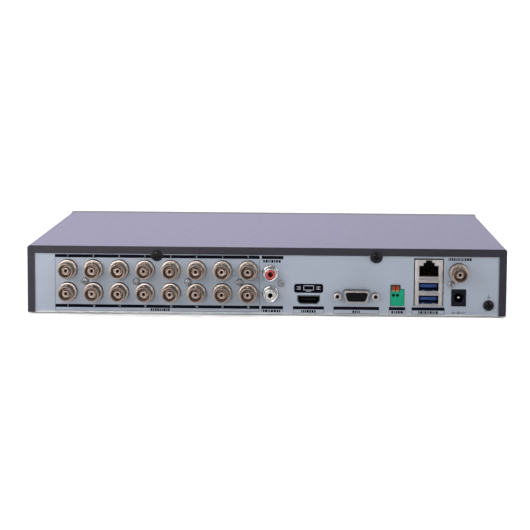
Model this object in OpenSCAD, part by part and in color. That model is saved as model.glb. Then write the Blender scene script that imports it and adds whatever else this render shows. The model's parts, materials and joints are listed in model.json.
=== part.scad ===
// A digital video recorder for sixteen cameras: a flat steel case with its sockets on the rear panel,
// a mainboard, a side fan and a 3.5 inch hard disk. Millimetres. +Z is up, the bezel faces -Y and the
// sockets face +Y. The origin is at the middle of the overall footprint, on the feet's underside.

/* [Case] */
// Width over the cover's sides
body_w = 315; // [312:1:320]
// Depth from the bezel's face to the cover's rear flange
body_d = 230; // [228:1:240]
// Height from the base plate's underside to the cover's top
body_h = 44.4; // [44.4:0.2:46]
// Height of the rubber feet under the base plate
foot_h = 1.2; // [1.2:0.2:4]
// Sheet thickness of the cover
cover_t = 0.8; // [0.7:0.1:0.9]
// Sheet thickness of the base tray and the rear panel
sheet_t = 1; // [0.8:0.1:1]
// Width of the cover's flange along its sides, over the rear panel
flange_side = 4.8; // [4:0.2:5.4]
// Height of the cover's flange along its top, over the rear panel
flange_top = 5.1; // [4.7:0.2:5.5]
// Depth of the plastic front bezel
bezel_d = 12; // [12:1:13]

/* [Video sockets] */
// How far the video sockets reach past the cover's rear flange
tip_reach = 12; // [11.5:0.5:13]
// Number of columns of video inputs, two inputs in each
bnc_columns = 8; // [4:2:8]
// Spacing of the columns
bnc_pitch = 17; // [16.6:0.2:17]
// Place of the first column
bnc_first_x = 131; // [129:0.5:131]
// Heights of the two rows above the base plate's underside
bnc_rows = [28.95, 13.8];

/* [Inside] */
// Height of the standoffs between base tray and mainboard
standoff_h = 3.9; // [3.7:0.1:3.9]
// Size of the mainboard
board_size = [292, 94, 1.6];
// Diameter of the hard disk's platters
platter_d = 95; // [93:1:95]
// Swing of the hard disk's arm from its park to the innermost track
arm_swing = 30; // [20:1:30]

/* [Hidden] */
$fn = 48;
eps = 0.01;

// Planes of the case
rear_y = (body_d - tip_reach) / 2;
front_y = rear_y - body_d;
tip_y = rear_y + tip_reach;
seat_gap = 0.3;
side_gap = 0.4;
bend_r = 1.6;
base_z = foot_h;
floor_z = base_z + sheet_t;
top_z = base_z + body_h;
panel_y = rear_y - cover_t - seat_gap;
panel_in_y = panel_y - sheet_t;
behind_y = panel_in_y - 0.1;
tray_half = body_w / 2 - cover_t - side_gap;
tray_front_y = front_y + bezel_d;
tray_flange_h = 12;
panel_top_z = top_z - cover_t - side_gap;
panel_return = 9;

// Cover fastening: two screws through tabs of the rear flange
cover_screw_x = 72;
tab_r = 4.2;
cover_screw_z = top_z - flange_top - 0.6;
m3_head_d = 7;
m3_shank_d = 2.9;

// Video sockets, sizes of the bayonet pattern
bnc_shoulder_d = 12.7;
bnc_barrel_d = 9.7;
bnc_bore_d = 8.1;
bnc_lug_d = 2;
bnc_lug_span = 11;
bnc_insulator_d = 4.4;
bnc_contact_d = 2.1;
bnc_contact_bore = 1.35;
bnc_shoulder_reach = 3.5;
bnc_stub = 5;
bnc_block_d = 21;
block_screw_dx = -11.4;
block_screw_h = 21;
video_out_x = -126.2;
video_out_h = 28.6;
video_out_screw = [-121.3, 20.9];

// Other sockets: places across the panel and heights above the base plate's underside
audio_x = -2.8;
audio_rows = [27.45, 13.65];
audio_screw = [-10, 20.5];
hdmi_x = -27.85;
hdmi_h = 7.1;
vga_x = -59.3;
vga_h = 12.7;
vga_post_gap = 25;
terminal_x = -86.15;
terminal_h = 6.5;
terminal_lever_x = [-83.65, -86.25];
lan_x = -106.6;
lan_h = 6.6;
power_x = -126.4;
power_h = 6.5;
ground_x = -146.1;
ground_h = 7.2;

// Mainboard
board_z = floor_z + standoff_h;
board_top = board_z + board_size[2];
board_y = panel_in_y - 3.1 - board_size[1];
board_holes = [
    [-138, board_y + 8], [0, board_y + 8], [138, board_y + 8],
    [-138, board_y + 62], [-16, board_y + 62], [142, board_y + 62]
];

// Fan on the side wall
fan_size = 40;
fan_t = 10;
fan_y = -45;
fan_z = floor_z + fan_size / 2 + 0.2;
fan_bore_d = 38;
fan_hub_d = 20;
fan_blades = 7;

// Hard disk, lying on pads of the base tray, with its sockets at its +X end
hdd_size = [147, 101.6, 26.1];
hdd_x = -4;
hdd_y = tray_front_y + sheet_t + 2.5 + hdd_size[1] / 2;
hdd_z = floor_z + 2;
hdd_spindle = [-23, 0];
hdd_pivot = [32, -22];
hdd_board_t = 1.2;
hdd_lid_t = 1.2;
hdd_cavity_z = 9;
hdd_park_angle = 105.8;
hdd_arm_l = 52;
hdd_platter_levels = [14, 18.5];
hdd_screw_gap = [44.45, 95.25];
hdd_screw_shift = -14;

// Bezel clips
clip_x = [-140, -50, 50, 148];

// Front board
indicator_z = floor_z + 10.6;
front_board_z = indicator_z + board_size[2];
indicator_x = 116;
light_pipe_x = [96, 103, 110];
front_usb_x = 132;
front_board_holes = [for (s = [-1, 1]) [indicator_x + s * 23, tray_front_y + 20]];

function pz(h) = base_z + h;
function bnc_x(column) = bnc_first_x - bnc_pitch * column;
function fan_x0() = -tray_half + sheet_t;

// ---------- helpers ----------

// A round bar along +Y
module rod_y(d, y0, y1, x, z) {
    translate([x, y0, z]) rotate([-90, 0, 0]) cylinder(d = d, h = y1 - y0);
}

// A round bar along +X
module rod_x(d, x0, x1, y, z) {
    translate([x0, y, z]) rotate([0, 90, 0]) cylinder(d = d, h = x1 - x0);
}

// A shape drawn in X and Z, as thick as y0 to y1
module slab_y(y0, y1) {
    translate([0, y1, 0]) rotate([90, 0, 0]) linear_extrude(y1 - y0) children();
}

// A shape drawn in Y and Z, as thick as x0 to x1
module slab_x(x0, x1) {
    translate([x0, 0, 0]) rotate([90, 0, 90]) linear_extrude(x1 - x0) children();
}

// A box between two corners
module span(low, high) {
    translate(low) cube(high - low);
}

// A rectangle between two corners
module rect(low, high) {
    translate(low) square(high - low);
}

// A rectangle with round ends, centred, standing along Y
module slot_2d(w, l) {
    square([w, l - w], center = true);
    for (s = [-1, 1]) translate([0, s * (l - w) / 2]) circle(d = w);
}

// A screw with a round head that faces +Y and a cross recess
module screw_y(x, z, seat_y, head_d, head_h, shank_d, shank_l) {
    recess_w = head_d * 0.14;
    recess_l = head_d * 0.56;
    difference() {
        union() {
            rod_y(head_d, seat_y, seat_y + head_h * 0.6, x, z);
            translate([x, seat_y + head_h * 0.6, z]) rotate([-90, 0, 0])
                cylinder(d1 = head_d, d2 = head_d * 0.62, h = head_h * 0.4);
            rod_y(shank_d, seat_y - shank_l, seat_y + eps, x, z);
        }
        for (size = [[recess_l, recess_w], [recess_w, recess_l]])
            translate([x - size[0] / 2, seat_y + head_h * 0.45, z - size[1] / 2])
                cube([size[0], head_h, size[1]]);
    }
}

// ---------- case ----------

// Outline of the cover's section, open at the bottom, with round bends at the top
module cover_outline(half, top, r) {
    rect([-half, base_z], [half, top - r]);
    rect([-half + r, base_z], [half - r, top]);
    for (s = [-1, 1]) translate([s * (half - r), top - r]) circle(r = r);
}

module side_vents(y_middle, count) {
    for (i = [0:count - 1], row = [0, 1])
        translate([0, y_middle + (i - (count - 1) / 2) * 5, base_z + 14.5 + row * 15])
            rotate([90, 0, 90]) linear_extrude(body_w, center = true) slot_2d(2.4, 11);
}

module top_cover() color("#4a464e") difference() {
    half = body_w / 2;
    union() {
        slab_y(tray_front_y + 0.3, rear_y) difference() {
            cover_outline(half, top_z, bend_r);
            translate([0, -eps]) cover_outline(half - cover_t, top_z - cover_t, bend_r - cover_t);
        }
        slab_y(rear_y - cover_t, rear_y) difference() {
            cover_outline(half, top_z, bend_r);
            difference() {
                rect([-half + flange_side, base_z - 1], [half - flange_side, top_z - flange_top]);
                for (s = [-1, 1]) translate([s * cover_screw_x, cover_screw_z]) circle(r = tab_r);
            }
        }
    }
    // Mitre seams of the folded flange
    for (s = [-1, 1]) translate([s * half, rear_y, top_z]) rotate([0, s * 45, 0])
        cube([0.25, 0.5, 2 * (flange_side + 0.4)], center = true);
    for (s = [-1, 1]) rod_y(3.3, rear_y - 2, rear_y + 1, s * cover_screw_x, cover_screw_z);
    side_vents(fan_y, 9);
    side_vents(40, 13);
}

module cover_screws() color("#16161a") for (s = [-1, 1])
    screw_y(s * cover_screw_x, cover_screw_z, rear_y, m3_head_d, 2, m3_shank_d, 6);

module base_vents() {
    for (i = [0:11], s = [-1, 1])
        translate([s * 118, 50 + (i - 5.5) * 6, base_z - 1])
            rotate([0, 0, 90]) linear_extrude(sheet_t + 2) slot_2d(2.4, 26);
}

module base_tray() color("#a9adb0") difference() {
    wall_x = tray_half - sheet_t;
    union() {
        span([-tray_half, tray_front_y, base_z], [tray_half, panel_y, floor_z]);
        for (s = [-1, 1]) translate([s * (tray_half - sheet_t / 2) - sheet_t / 2, 0, 0])
            span([0, tray_front_y, base_z], [sheet_t, panel_in_y - panel_return - 1, base_z + tray_flange_h]);
        span([-wall_x, tray_front_y, floor_z - eps], [wall_x, tray_front_y + sheet_t, panel_top_z - 1]);
        // Side wall that carries the fan
        span([-tray_half, fan_y - fan_size / 2 - 2, floor_z],
             [-wall_x, fan_y + fan_size / 2 + 2, panel_top_z - 1]);
        // Pads under the hard disk, and posts under the front board
        for (i = [-1, 1], j = [-1, 1])
            translate([hdd_x + hdd_screw_shift + i * hdd_screw_gap[0] / 2,
                       hdd_y + j * hdd_screw_gap[1] / 2 * 0.97, floor_z - eps])
                cylinder(d = 8, h = hdd_z - floor_z + eps);
        for (p = front_board_holes) translate([p[0], p[1], floor_z - eps])
            cylinder(d = 6, h = indicator_z - floor_z + eps);
    }
    for (p = front_board_holes) translate([p[0], p[1], floor_z + 2]) cylinder(d = 2.7, h = 20);
    for (i = [-1, 1], j = [-1, 1])
        translate([hdd_x + hdd_screw_shift + i * hdd_screw_gap[0] / 2,
                   hdd_y + j * hdd_screw_gap[1] / 2 * 0.97, base_z - 1])
            cylinder(d = 3.3, h = 6);
    rod_x(fan_bore_d, -tray_half - 1, -wall_x + 1, fan_y, fan_z);
    for (i = [-1, 1], j = [-1, 1]) rod_x(3, -tray_half - 1, -wall_x + 1, fan_y + i * 16, fan_z + j * 16);
    // Window for the front socket and the light pipes, and holes for the bezel's clips
    span([indicator_x - 27, tray_front_y - 1, indicator_z - 1],
         [indicator_x + 27, tray_front_y + 2, indicator_z + 12]);
    for (x = clip_x) span([x - 4.3, tray_front_y - 1, 29.4], [x + 4.3, tray_front_y + 2, 33.6]);
    base_vents();
}

module panel_openings() {
    for (column = [0:bnc_columns - 1], h = bnc_rows)
        translate([bnc_x(column), pz(h)]) circle(d = bnc_shoulder_d + 0.5);
    translate([video_out_x, pz(video_out_h)]) circle(d = bnc_shoulder_d + 0.5);
    for (h = audio_rows) translate([audio_x, pz(h)]) circle(d = 10.8);
    for (p = connector_screw_places()) translate(p) circle(d = 3.2);
    translate([hdmi_x, pz(hdmi_h)]) hdmi_outline(0.25);
    translate([vga_x, pz(vga_h)]) vga_outline(0.4);
    for (s = [-1, 1]) translate([vga_x + s * vga_post_gap / 2, pz(vga_h)]) circle(d = 3.2);
    translate([terminal_x, pz(terminal_h)]) terminal_outline(0.25);
    rect([lan_x - 9.75, pz(lan_h) - 0.3], [lan_x + 9.75, pz(lan_h) + 31.4]);
    rect([power_x - 4.9, pz(power_h) - 0.15], [power_x + 4.9, pz(power_h) + 11.25]);
    translate([ground_x, pz(ground_h)]) circle(d = 4);
    for (s = [-1, 1]) translate([s * cover_screw_x, cover_screw_z]) circle(d = 3.1);
}

module rear_panel() color("#b4bccb") difference() {
    union() {
        span([-tray_half, panel_in_y, floor_z], [tray_half, panel_y, panel_top_z]);
        // Returns along the top, the sides and the bottom
        span([-tray_half, panel_in_y - panel_return, panel_top_z - sheet_t],
             [tray_half, panel_in_y + eps, panel_top_z]);
        for (s = [-1, 1]) translate([s * (tray_half - sheet_t / 2) - sheet_t / 2, 0, 0])
            span([0, panel_in_y - panel_return, floor_z], [sheet_t, panel_in_y + eps, panel_top_z]);
        span([-tray_half, panel_in_y - panel_return, floor_z],
             [tray_half, panel_in_y + eps, floor_z + sheet_t]);
        // Pressed nuts
        for (s = [-1, 1]) rod_y(6, panel_in_y - 2, panel_in_y + eps, s * cover_screw_x, cover_screw_z);
        rod_y(7.5, panel_in_y - 2.9, panel_in_y + eps, ground_x, pz(ground_h));
    }
    slab_y(panel_in_y - 1, panel_y + 1) panel_openings();
    for (s = [-1, 1]) rod_y(3.1, panel_in_y - 4, panel_y + 1, s * cover_screw_x, cover_screw_z);
    rod_y(4, panel_in_y - 5, panel_y + 1, ground_x, pz(ground_h));
}

// Section of the bezel across its length, in Y and Z: a flat face over a slanted lower edge
module bezel_section(inset) {
    back = tray_front_y + (inset > 0 ? eps : 0);
    polygon([
        [front_y + inset, base_z + 11 - inset * 0.4],
        [front_y + inset + 3.2, base_z + 1.2 + inset],
        [front_y + inset + 4.4, base_z + inset],
        [back, base_z + inset],
        [back, top_z - inset],
        [front_y + inset + 1.6, top_z - inset],
        [front_y + inset, top_z - 1.6 - inset]
    ]);
}

module front_bezel() color("#19191c") {
    wall = 2;
    half = body_w / 2;
    difference() {
        slab_x(-half, half) bezel_section(0);
        slab_x(-half + wall, half - wall) bezel_section(wall);
        for (x = light_pipe_x) rod_y(3.1, front_y - 1, front_y + 4, x, indicator_z + 6);
        span([front_usb_x - 6.9, front_y - 1, front_board_z - 0.35],
             [front_usb_x + 6.9, front_y + 4, front_board_z + 6.25]);
        // A thin shadow line between the face and its lower edge
        span([-half - 1, front_y - 1, base_z + 11], [half + 1, front_y + 0.5, base_z + 11.6]);
    }
    // Snap clips that hook behind the tray's front wall
    for (x = clip_x) {
        span([x - 4, front_y + wall - eps, 29.8], [x + 4, tray_front_y + 2.2, 31.4]);
        span([x - 4, tray_front_y + sheet_t + 0.2, 31.4 - eps], [x + 4, tray_front_y + 2.2, 33.2]);
    }
}

module rubber_feet() color("#1b1b1b") for (i = [-1, 1], j = [-1, 1])
    translate([i * 110, j * (rear_y - 14), 0]) {
        cylinder(d1 = 12.6, d2 = 14, h = 0.6);
        translate([0, 0, 0.6 - eps]) cylinder(d = 14, h = foot_h - 0.6 + eps);
    }

module ground_screw() color("#16161a") screw_y(ground_x, pz(ground_h), panel_y, 7, 2.3, 3.9, 4);

// ---------- video sockets ----------

module bnc_shell(x, z) {
    lug_y = tip_y - 4.8;
    difference() {
        union() {
            rod_y(bnc_shoulder_d, panel_y - bnc_stub, panel_y + bnc_shoulder_reach - 0.5, x, z);
            translate([x, panel_y + bnc_shoulder_reach - 0.5 - eps, z]) rotate([-90, 0, 0])
                cylinder(d1 = bnc_shoulder_d, d2 = bnc_shoulder_d - 1, h = 0.5 + eps);
            rod_y(bnc_barrel_d, panel_y, tip_y - 0.4, x, z);
            translate([x, tip_y - 0.4 - eps, z]) rotate([-90, 0, 0])
                cylinder(d1 = bnc_barrel_d, d2 = bnc_barrel_d - 0.7, h = 0.4 + eps);
            translate([x, lug_y, z - bnc_lug_span / 2]) cylinder(d = bnc_lug_d, h = bnc_lug_span);
        }
        rod_y(bnc_bore_d, panel_y + 3, tip_y + 1, x, z);
        rod_y(bnc_insulator_d + 0.1, panel_y - bnc_stub - 1, panel_y + 4, x, z);
    }
}

module bnc_insulator(x, z) difference() {
    rod_y(bnc_insulator_d, panel_y - bnc_stub, tip_y - 2.2, x, z);
    rod_y(bnc_contact_d + 0.05, panel_y - bnc_stub - 1, tip_y, x, z);
}

module bnc_contact(x, z) difference() {
    rod_y(bnc_contact_d, panel_y - bnc_stub, tip_y - 1.9, x, z);
    rod_y(bnc_contact_bore, tip_y - 8, tip_y, x, z);
}

// Moulded block behind the panel that holds the four sockets of two columns
module bnc_block(index) color("#202022") difference() {
    middle = (bnc_x(2 * index) + bnc_x(2 * index + 1)) / 2;
    span([middle - 16.7, behind_y - bnc_block_d, board_top], [middle + 16.7, behind_y, pz(35.9)]);
    for (column = [2 * index, 2 * index + 1], h = bnc_rows)
        rod_y(bnc_shoulder_d + 0.2, panel_y - bnc_stub - 0.1, panel_y, bnc_x(column), pz(h));
    rod_y(2.5, behind_y - 8, behind_y + 1, bnc_x(2 * index) + block_screw_dx, pz(block_screw_h));
}

module bnc_shells() color("#b3a596") {
    for (column = [0:bnc_columns - 1], h = bnc_rows) bnc_shell(bnc_x(column), pz(h));
    bnc_shell(video_out_x, pz(video_out_h));
}

module bnc_insulators() color("#e6d8c8") {
    for (column = [0:bnc_columns - 1], h = bnc_rows) bnc_insulator(bnc_x(column), pz(h));
    bnc_insulator(video_out_x, pz(video_out_h));
}

module bnc_contacts() color("#c9a052") {
    for (column = [0:bnc_columns - 1], h = bnc_rows) bnc_contact(bnc_x(column), pz(h));
    bnc_contact(video_out_x, pz(video_out_h));
}

module video_out_housing() color("#202022") difference() {
    span([video_out_x - 7.6, behind_y - 20, board_top + 12], [video_out_x + 7.6, behind_y, pz(35.9)]);
    rod_y(bnc_shoulder_d + 0.2, panel_y - bnc_stub - 0.1, panel_y, video_out_x, pz(video_out_h));
    rod_y(2.5, behind_y - 8, behind_y + 1, video_out_screw[0], pz(video_out_screw[1]));
}

function connector_screw_places() = concat(
    [for (i = [0:bnc_columns / 2 - 1]) [bnc_x(2 * i) + block_screw_dx, pz(block_screw_h)]],
    [[audio_screw[0], pz(audio_screw[1])], [video_out_screw[0], pz(video_out_screw[1])]]
);

module connector_screws() color("#c8c8c8") for (p = connector_screw_places())
    screw_y(p[0], p[1], panel_y, 4.8, 1.5, 2.4, 7);

// ---------- audio sockets ----------

module audio_housing() color("#202022") difference() {
    span([audio_x - 10, behind_y - 13, board_top], [audio_x + 6, behind_y, pz(34.5)]);
    rod_y(2.5, behind_y - 8, behind_y + 1, audio_screw[0], pz(audio_screw[1]));
}

module audio_shells() color("#cfcfd2") for (h = audio_rows) difference() {
    union() {
        rod_y(10.4, behind_y, panel_y + 1.2, audio_x, pz(h));
        rod_y(8.3, panel_y, rear_y + 8.6, audio_x, pz(h));
        translate([audio_x, rear_y + 8.6 - eps, pz(h)]) rotate([-90, 0, 0])
            cylinder(d1 = 8.3, d2 = 7.7, h = 0.3 + eps);
    }
    rod_y(6.4, behind_y - 1, rear_y + 10, audio_x, pz(h));
}

module audio_insert(h) difference() {
    rod_y(6.3, behind_y, rear_y + 8, audio_x, pz(h));
    rod_y(3.95, rear_y, rear_y + 9, audio_x, pz(h));
}

module audio_in_insert() color("#b3171c") audio_insert(audio_rows[0]);

module audio_out_insert() color("#eeeeec") audio_insert(audio_rows[1]);

module audio_contacts() color("#c9a052") for (h = audio_rows) difference() {
    rod_y(3.85, rear_y + 0.05, rear_y + 7.4, audio_x, pz(h));
    rod_y(3.2, rear_y + 0.6, rear_y + 8, audio_x, pz(h));
}

// ---------- display sockets ----------

// Outline of the flat digital display socket, from its lower edge, grown by a margin
module hdmi_outline(margin) {
    w = 7.35 + margin;
    low = 5.45 + margin * 0.6;
    polygon([
        [-w, 5.5 + margin], [-w, 1.9], [-low, -margin],
        [low, -margin], [w, 1.9], [w, 5.5 + margin]
    ]);
}

module hdmi_shell() color("#8a8a8c") translate([hdmi_x, 0, pz(hdmi_h)]) {
    difference() {
        slab_y(panel_y - 11.5, panel_y - 0.1) hdmi_outline(0);
        slab_y(panel_y - 11, panel_y + 1) hdmi_outline(-0.45);
    }
    // Legs down to the mainboard
    for (s = [-1, 1]) translate([s * 7.1 - 0.24, 0, 0])
        span([0, panel_y - 9, board_top - pz(hdmi_h)], [0.48, panel_y - 6.5, 3]);
}

module hdmi_tongue() color("#111113") translate([hdmi_x, 0, pz(hdmi_h)])
    union() {
        slab_y(panel_y - 11, panel_y - 8.6) hdmi_outline(-0.5);
        span([-5.2, panel_y - 8.7, 2.3], [5.2, panel_y - 1.4, 3.5]);
    }

// Outline of the fifteen-way socket's shell, centred, grown by a margin
module vga_outline(margin) {
    r = 1.6;
    top = 8.35 + margin - r;
    low = 7.3 + margin - r;
    high = 4.1 + margin - r;
    lean = atan2(top - low, 2 * high);
    corners = [
        [low, -high, -90, -lean], [top, high, -lean, 90],
        [-top, high, 90, 180 + lean], [-low, -high, 180 + lean, 270]
    ];
    polygon([for (c = corners, k = [0:6])
        [c[0] + r * cos(c[2] + (c[3] - c[2]) * k / 6), c[1] + r * sin(c[2] + (c[3] - c[2]) * k / 6)]]);
}

module vga_shell() color("#c4bdb2") translate([vga_x, 0, pz(vga_h)]) difference() {
    union() {
        slab_y(panel_y - 2, rear_y + 4.8) vga_outline(0);
        slab_y(behind_y - 0.9, behind_y) rect([-15.4, -6.2], [15.4, 6.2]);
    }
    // The shell's front edge is rolled in over the insert
    slab_y(panel_y - 6, rear_y + 4.2) vga_outline(-0.5);
    slab_y(panel_y - 6, rear_y + 6) vga_outline(-1.1);
    for (s = [-1, 1]) rod_y(2.9, behind_y - 2, behind_y + 1, s * vga_post_gap / 2, 0);
}

module vga_insert() color("#101012") translate([vga_x, 0, pz(vga_h)]) difference() {
    union() {
        slab_y(panel_y - 4, rear_y + 4.1) vga_outline(-0.55);
        slab_y(panel_y - 4, rear_y + 4.5) vga_outline(-1.15);
        span([-8, behind_y - 12, board_top - pz(vga_h)], [8, behind_y - 1, 4.6]);
    }
    for (row = [-1:1], i = [-2:2])
        rod_y(1.1, rear_y - 1, rear_y + 5, (i + (row == 0 ? 0.25 : -0.25)) * 2.29, row * 1.98);
}

module vga_hex_posts() color("#cdc9c0") for (s = [-1, 1])
    translate([vga_x + s * vga_post_gap / 2, 0, pz(vga_h)]) difference() {
        union() {
            translate([0, panel_y, 0]) rotate([-90, 30, 0]) cylinder(d = 5.5, h = 5, $fn = 6);
            rod_y(2.8, behind_y - 3, panel_y + eps, 0, 0);
        }
        rod_y(2.85, panel_y + 0.5, panel_y + 6, 0, 0);
    }

// ---------- terminal block ----------

// Outline of the two-way terminal block, from the middle of its lower edge
module terminal_outline(margin) {
    rect([-4.45 - margin, -margin], [4.45 + margin, 10.8 + margin]);
    rect([-1.95 - margin, 0], [4.45 + margin, 13.6 + margin]);
}

module terminal_housing() color("#1fa07a") difference() {
    translate([terminal_x, 0, pz(terminal_h)]) slab_y(panel_y - 9, panel_y + 0.4) terminal_outline(0);
    // Slot shared by both levers, and the wire holes
    span([terminal_lever_x[1] - 1.45, panel_y - 8, pz(terminal_h) + 9.2],
         [terminal_lever_x[0] + 1.45, panel_y + 1, pz(terminal_h) + 14]);
    for (x = terminal_lever_x) rod_y(1.9, panel_y - 7, panel_y + 1, x, pz(13.4));
}

// Release lever that is pushed in to open the wire clamp
module terminal_lever(x) {
    low = pz(terminal_h) + 9.4;
    slab_x(x - 1.05, x + 1.05) polygon([
        [panel_y - 6, low], [panel_y + 0.6, low], [panel_y + 1.5, low + 0.9],
        [panel_y + 0.8, low + 2.1], [panel_y + 1.5, low + 3.3], [panel_y + 1.1, low + 4.1],
        [panel_y - 6, low + 4.1]
    ]);
}

module terminal_lever_1() color("#d9531e") terminal_lever(terminal_lever_x[0]);

module terminal_lever_2() color("#d9531e") terminal_lever(terminal_lever_x[1]);

// ---------- network and USB sockets ----------

// Front opening of the network socket, from the middle of the shield's lower edge
module network_opening(margin) {
    rect([-6.35 - margin, 19.4 - margin], [6.35 + margin, 26.5 + margin]);
    rect([-3.7 - margin, 25], [3.7 + margin, 28.5 + margin]);
    rect([-2.1 - margin, 27], [2.1 + margin, 30.1 + margin]);
}

module usb_opening(low, margin) {
    rect([-6.5 - margin, low - 0.15 - margin], [6.5 + margin, low + 5.35 + margin]);
}

usb_levels = [9.9, 1.45];

module network_usb_shield() color("#c9c4bd") translate([lan_x, 0, pz(lan_h)]) difference() {
    slab_y(panel_y - 21, panel_y + 0.2) rect([-9.05, 0], [9.05, 30.5]);
    slab_y(panel_y - 20.6, panel_y - 0.2) rect([-8.65, 0.4], [8.65, 30.1]);
    slab_y(panel_y - 1, panel_y + 1) {
        network_opening(0);
        for (low = usb_levels) usb_opening(low, 0);
    }
}

module network_usb_insert() color("#131315") translate([lan_x, 0, pz(lan_h)]) difference() {
    slab_y(panel_y - 20.5, panel_y - 0.3) rect([-8.55, 0.5], [8.55, 30]);
    slab_y(panel_y - 14, panel_y) {
        network_opening(0);
        for (low = usb_levels) usb_opening(low, 0);
    }
    // Comb for the eight contacts
    for (i = [0:7]) translate([(i - 3.5) * 1.02, 0, 0])
        span([-0.25, panel_y - 13, 18.9], [0.25, panel_y - 3, 19.6]);
}

module usb_tongue(y0, y1, low) span([-5.6, y0, low], [5.6, y1, low + 2.1]);

module usb_tongues() color("#1f4fa0") translate([lan_x, 0, pz(lan_h)])
    for (low = usb_levels) usb_tongue(panel_y - 14, panel_y - 1.8, low + 2.1);

// ---------- power ----------

module power_jack_housing() color("#17181b") difference() {
    span([power_x - 4.75, panel_y - 13, board_top], [power_x + 4.75, panel_y + 0.6, pz(power_h) + 11.1]);
    rod_y(6.3, panel_y - 9, panel_y + 2, power_x, pz(12.1));
    rod_y(2.15, panel_y - 12, panel_y, power_x, pz(12.1));
}

module power_jack_pin() color("#c8c8c8") {
    rod_y(2.05, panel_y - 11.5, panel_y - 1.6, power_x, pz(12.1));
    translate([power_x, panel_y - 1.6 - eps, pz(12.1)]) rotate([-90, 0, 0])
        cylinder(d1 = 2.05, d2 = 1, h = 0.6);
}

// ---------- mainboard ----------

module mainboard() color("#1d5a3a") difference() {
    translate([-board_size[0] / 2, board_y, board_z]) cube(board_size);
    for (p = board_holes) translate([p[0], p[1], board_z - 1]) cylinder(d = 3.4, h = 4);
}

module board_standoffs() color("#c0a060") for (p = board_holes) translate([p[0], p[1], floor_z])
    difference() {
        cylinder(d = 6, h = standoff_h);
        translate([0, 0, 1]) cylinder(d = 2.7, h = standoff_h);
    }

module board_screws() color("#c8c8c8")
    for (p = concat([for (h = board_holes) [h[0], h[1], board_top]],
                    [for (h = front_board_holes) [h[0], h[1], front_board_z]])) translate(p)
    difference() {
        union() {
            cylinder(d = 5.4, h = 1.6);
            translate([0, 0, -board_size[2] - 2.8]) cylinder(d = 2.6, h = board_size[2] + 2.8 + eps);
        }
        for (a = [0, 90]) rotate([0, 0, a]) translate([-1.5, -0.4, 0.8]) cube([3, 0.8, 2]);
    }

heat_sink_place = [-62, 46];

module heat_sink() color("#8f979d") translate([heat_sink_place[0], heat_sink_place[1], board_top + 1.6]) {
    translate([-19, -19, 0]) cube([38, 38, 2.5]);
    for (i = [0:9]) translate([-19 + i * (38 - 1.2) / 9, -19, 2.5 - eps]) cube([1.2, 38, 9]);
}

// Chips: [x, y, width, depth, height]
chips = [
    [heat_sink_place[0], heat_sink_place[1], 23, 23, 1.6],
    [-92, 56, 9, 13, 1.1], [-92, 38, 9, 13, 1.1], [-30, 56, 9, 13, 1.1], [-30, 38, 9, 13, 1.1],
    [112, 68, 14, 14, 1.4], [78, 68, 14, 14, 1.4], [44, 68, 14, 14, 1.4], [12, 68, 14, 14, 1.4],
    [-106, 68, 10, 10, 1.2], [-120, 30, 8, 6, 1.5], [-8, 30, 8, 6, 1.5], [60, 32, 6, 5, 1.5]
];

module board_chips() color("#1a1a1d") for (c = chips)
    translate([c[0] - c[2] / 2, c[1] - c[3] / 2, board_top]) cube([c[2], c[3], c[4]]);

capacitor_places = [
    [-138, 60], [-126, 58], [-138, 46], [-118, 48], [30, 46], [40, 30], [96, 40], [126, 52],
    [134, 36], [-70, 18]
];

module board_capacitors() color("#b9bcc2") for (p = capacitor_places) translate([p[0], p[1], board_top]) {
    cylinder(d = 6.3, h = 6.6);
    translate([-3.4, -3.4, 0]) cube([6.8, 6.8, 0.8]);
}

battery_place = [2, 48];

module backup_battery() color("#c9ccd0") translate([battery_place[0], battery_place[1], board_top + 0.8])
    cylinder(d = 20, h = 3.2);

// Sockets along the board's front edge: [x, y, width, depth, height]
headers = [
    [92, board_y + 9, 16, 7, 8], [70, board_y + 9, 11, 7, 8.5],
    [120, board_y + 9, 21, 6, 7], [-118, board_y + 9, 7, 6, 6]
];

module board_headers() color("#d9d6c9") {
    for (h = headers) difference() {
        translate([h[0] - h[2] / 2, h[1] - h[3] / 2, board_top]) cube([h[2], h[3], h[4]]);
        translate([h[0] - h[2] / 2 + 1, h[1] - h[3] / 2 + 1, board_top + 2]) cube([h[2] - 2, h[3] - 2, 9]);
    }
    // Holder around the backup battery
    translate([battery_place[0], battery_place[1], board_top]) difference() {
        cylinder(d = 23, h = 3);
        translate([0, 0, 0.8]) cylinder(d = 20.2, h = 4);
        translate([-13, -4, 0.8]) cube([26, 8, 4]);
    }
}

// ---------- front board ----------

module indicator_board() color("#1d5a3a") difference() {
    span([indicator_x - 27, tray_front_y + sheet_t + 0.4, indicator_z],
         [indicator_x + 27, tray_front_y + 26, indicator_z + board_size[2]]);
    for (p = front_board_holes) translate([p[0], p[1], indicator_z - 1]) cylinder(d = 3.4, h = 4);
}

module status_light_pipes() color("#e8f2ee") for (x = light_pipe_x) {
    rod_y(2.9, front_y + 0.1, tray_front_y + 6, x, indicator_z + 6);
    span([x - 1.4, tray_front_y + 3, front_board_z], [x + 1.4, tray_front_y + 6, indicator_z + 6]);
}

module front_usb_shell() color("#c4c4c6") translate([front_usb_x, 0, front_board_z]) difference() {
    slab_y(front_y + 0.6, front_y + 19) rect([-6.55, 0], [6.55, 5.9]);
    slab_y(front_y, front_y + 18.6) rect([-6.2, 0.35], [6.2, 5.55]);
}

module front_usb_tongue() color("#141416") translate([front_usb_x, 0, front_board_z]) {
    usb_tongue(front_y + 2.2, front_y + 16.1, 2.2);
    span([-6.1, front_y + 16, 0.45], [6.1, front_y + 18.5, 5.45]);
}

// ---------- fan ----------

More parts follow.
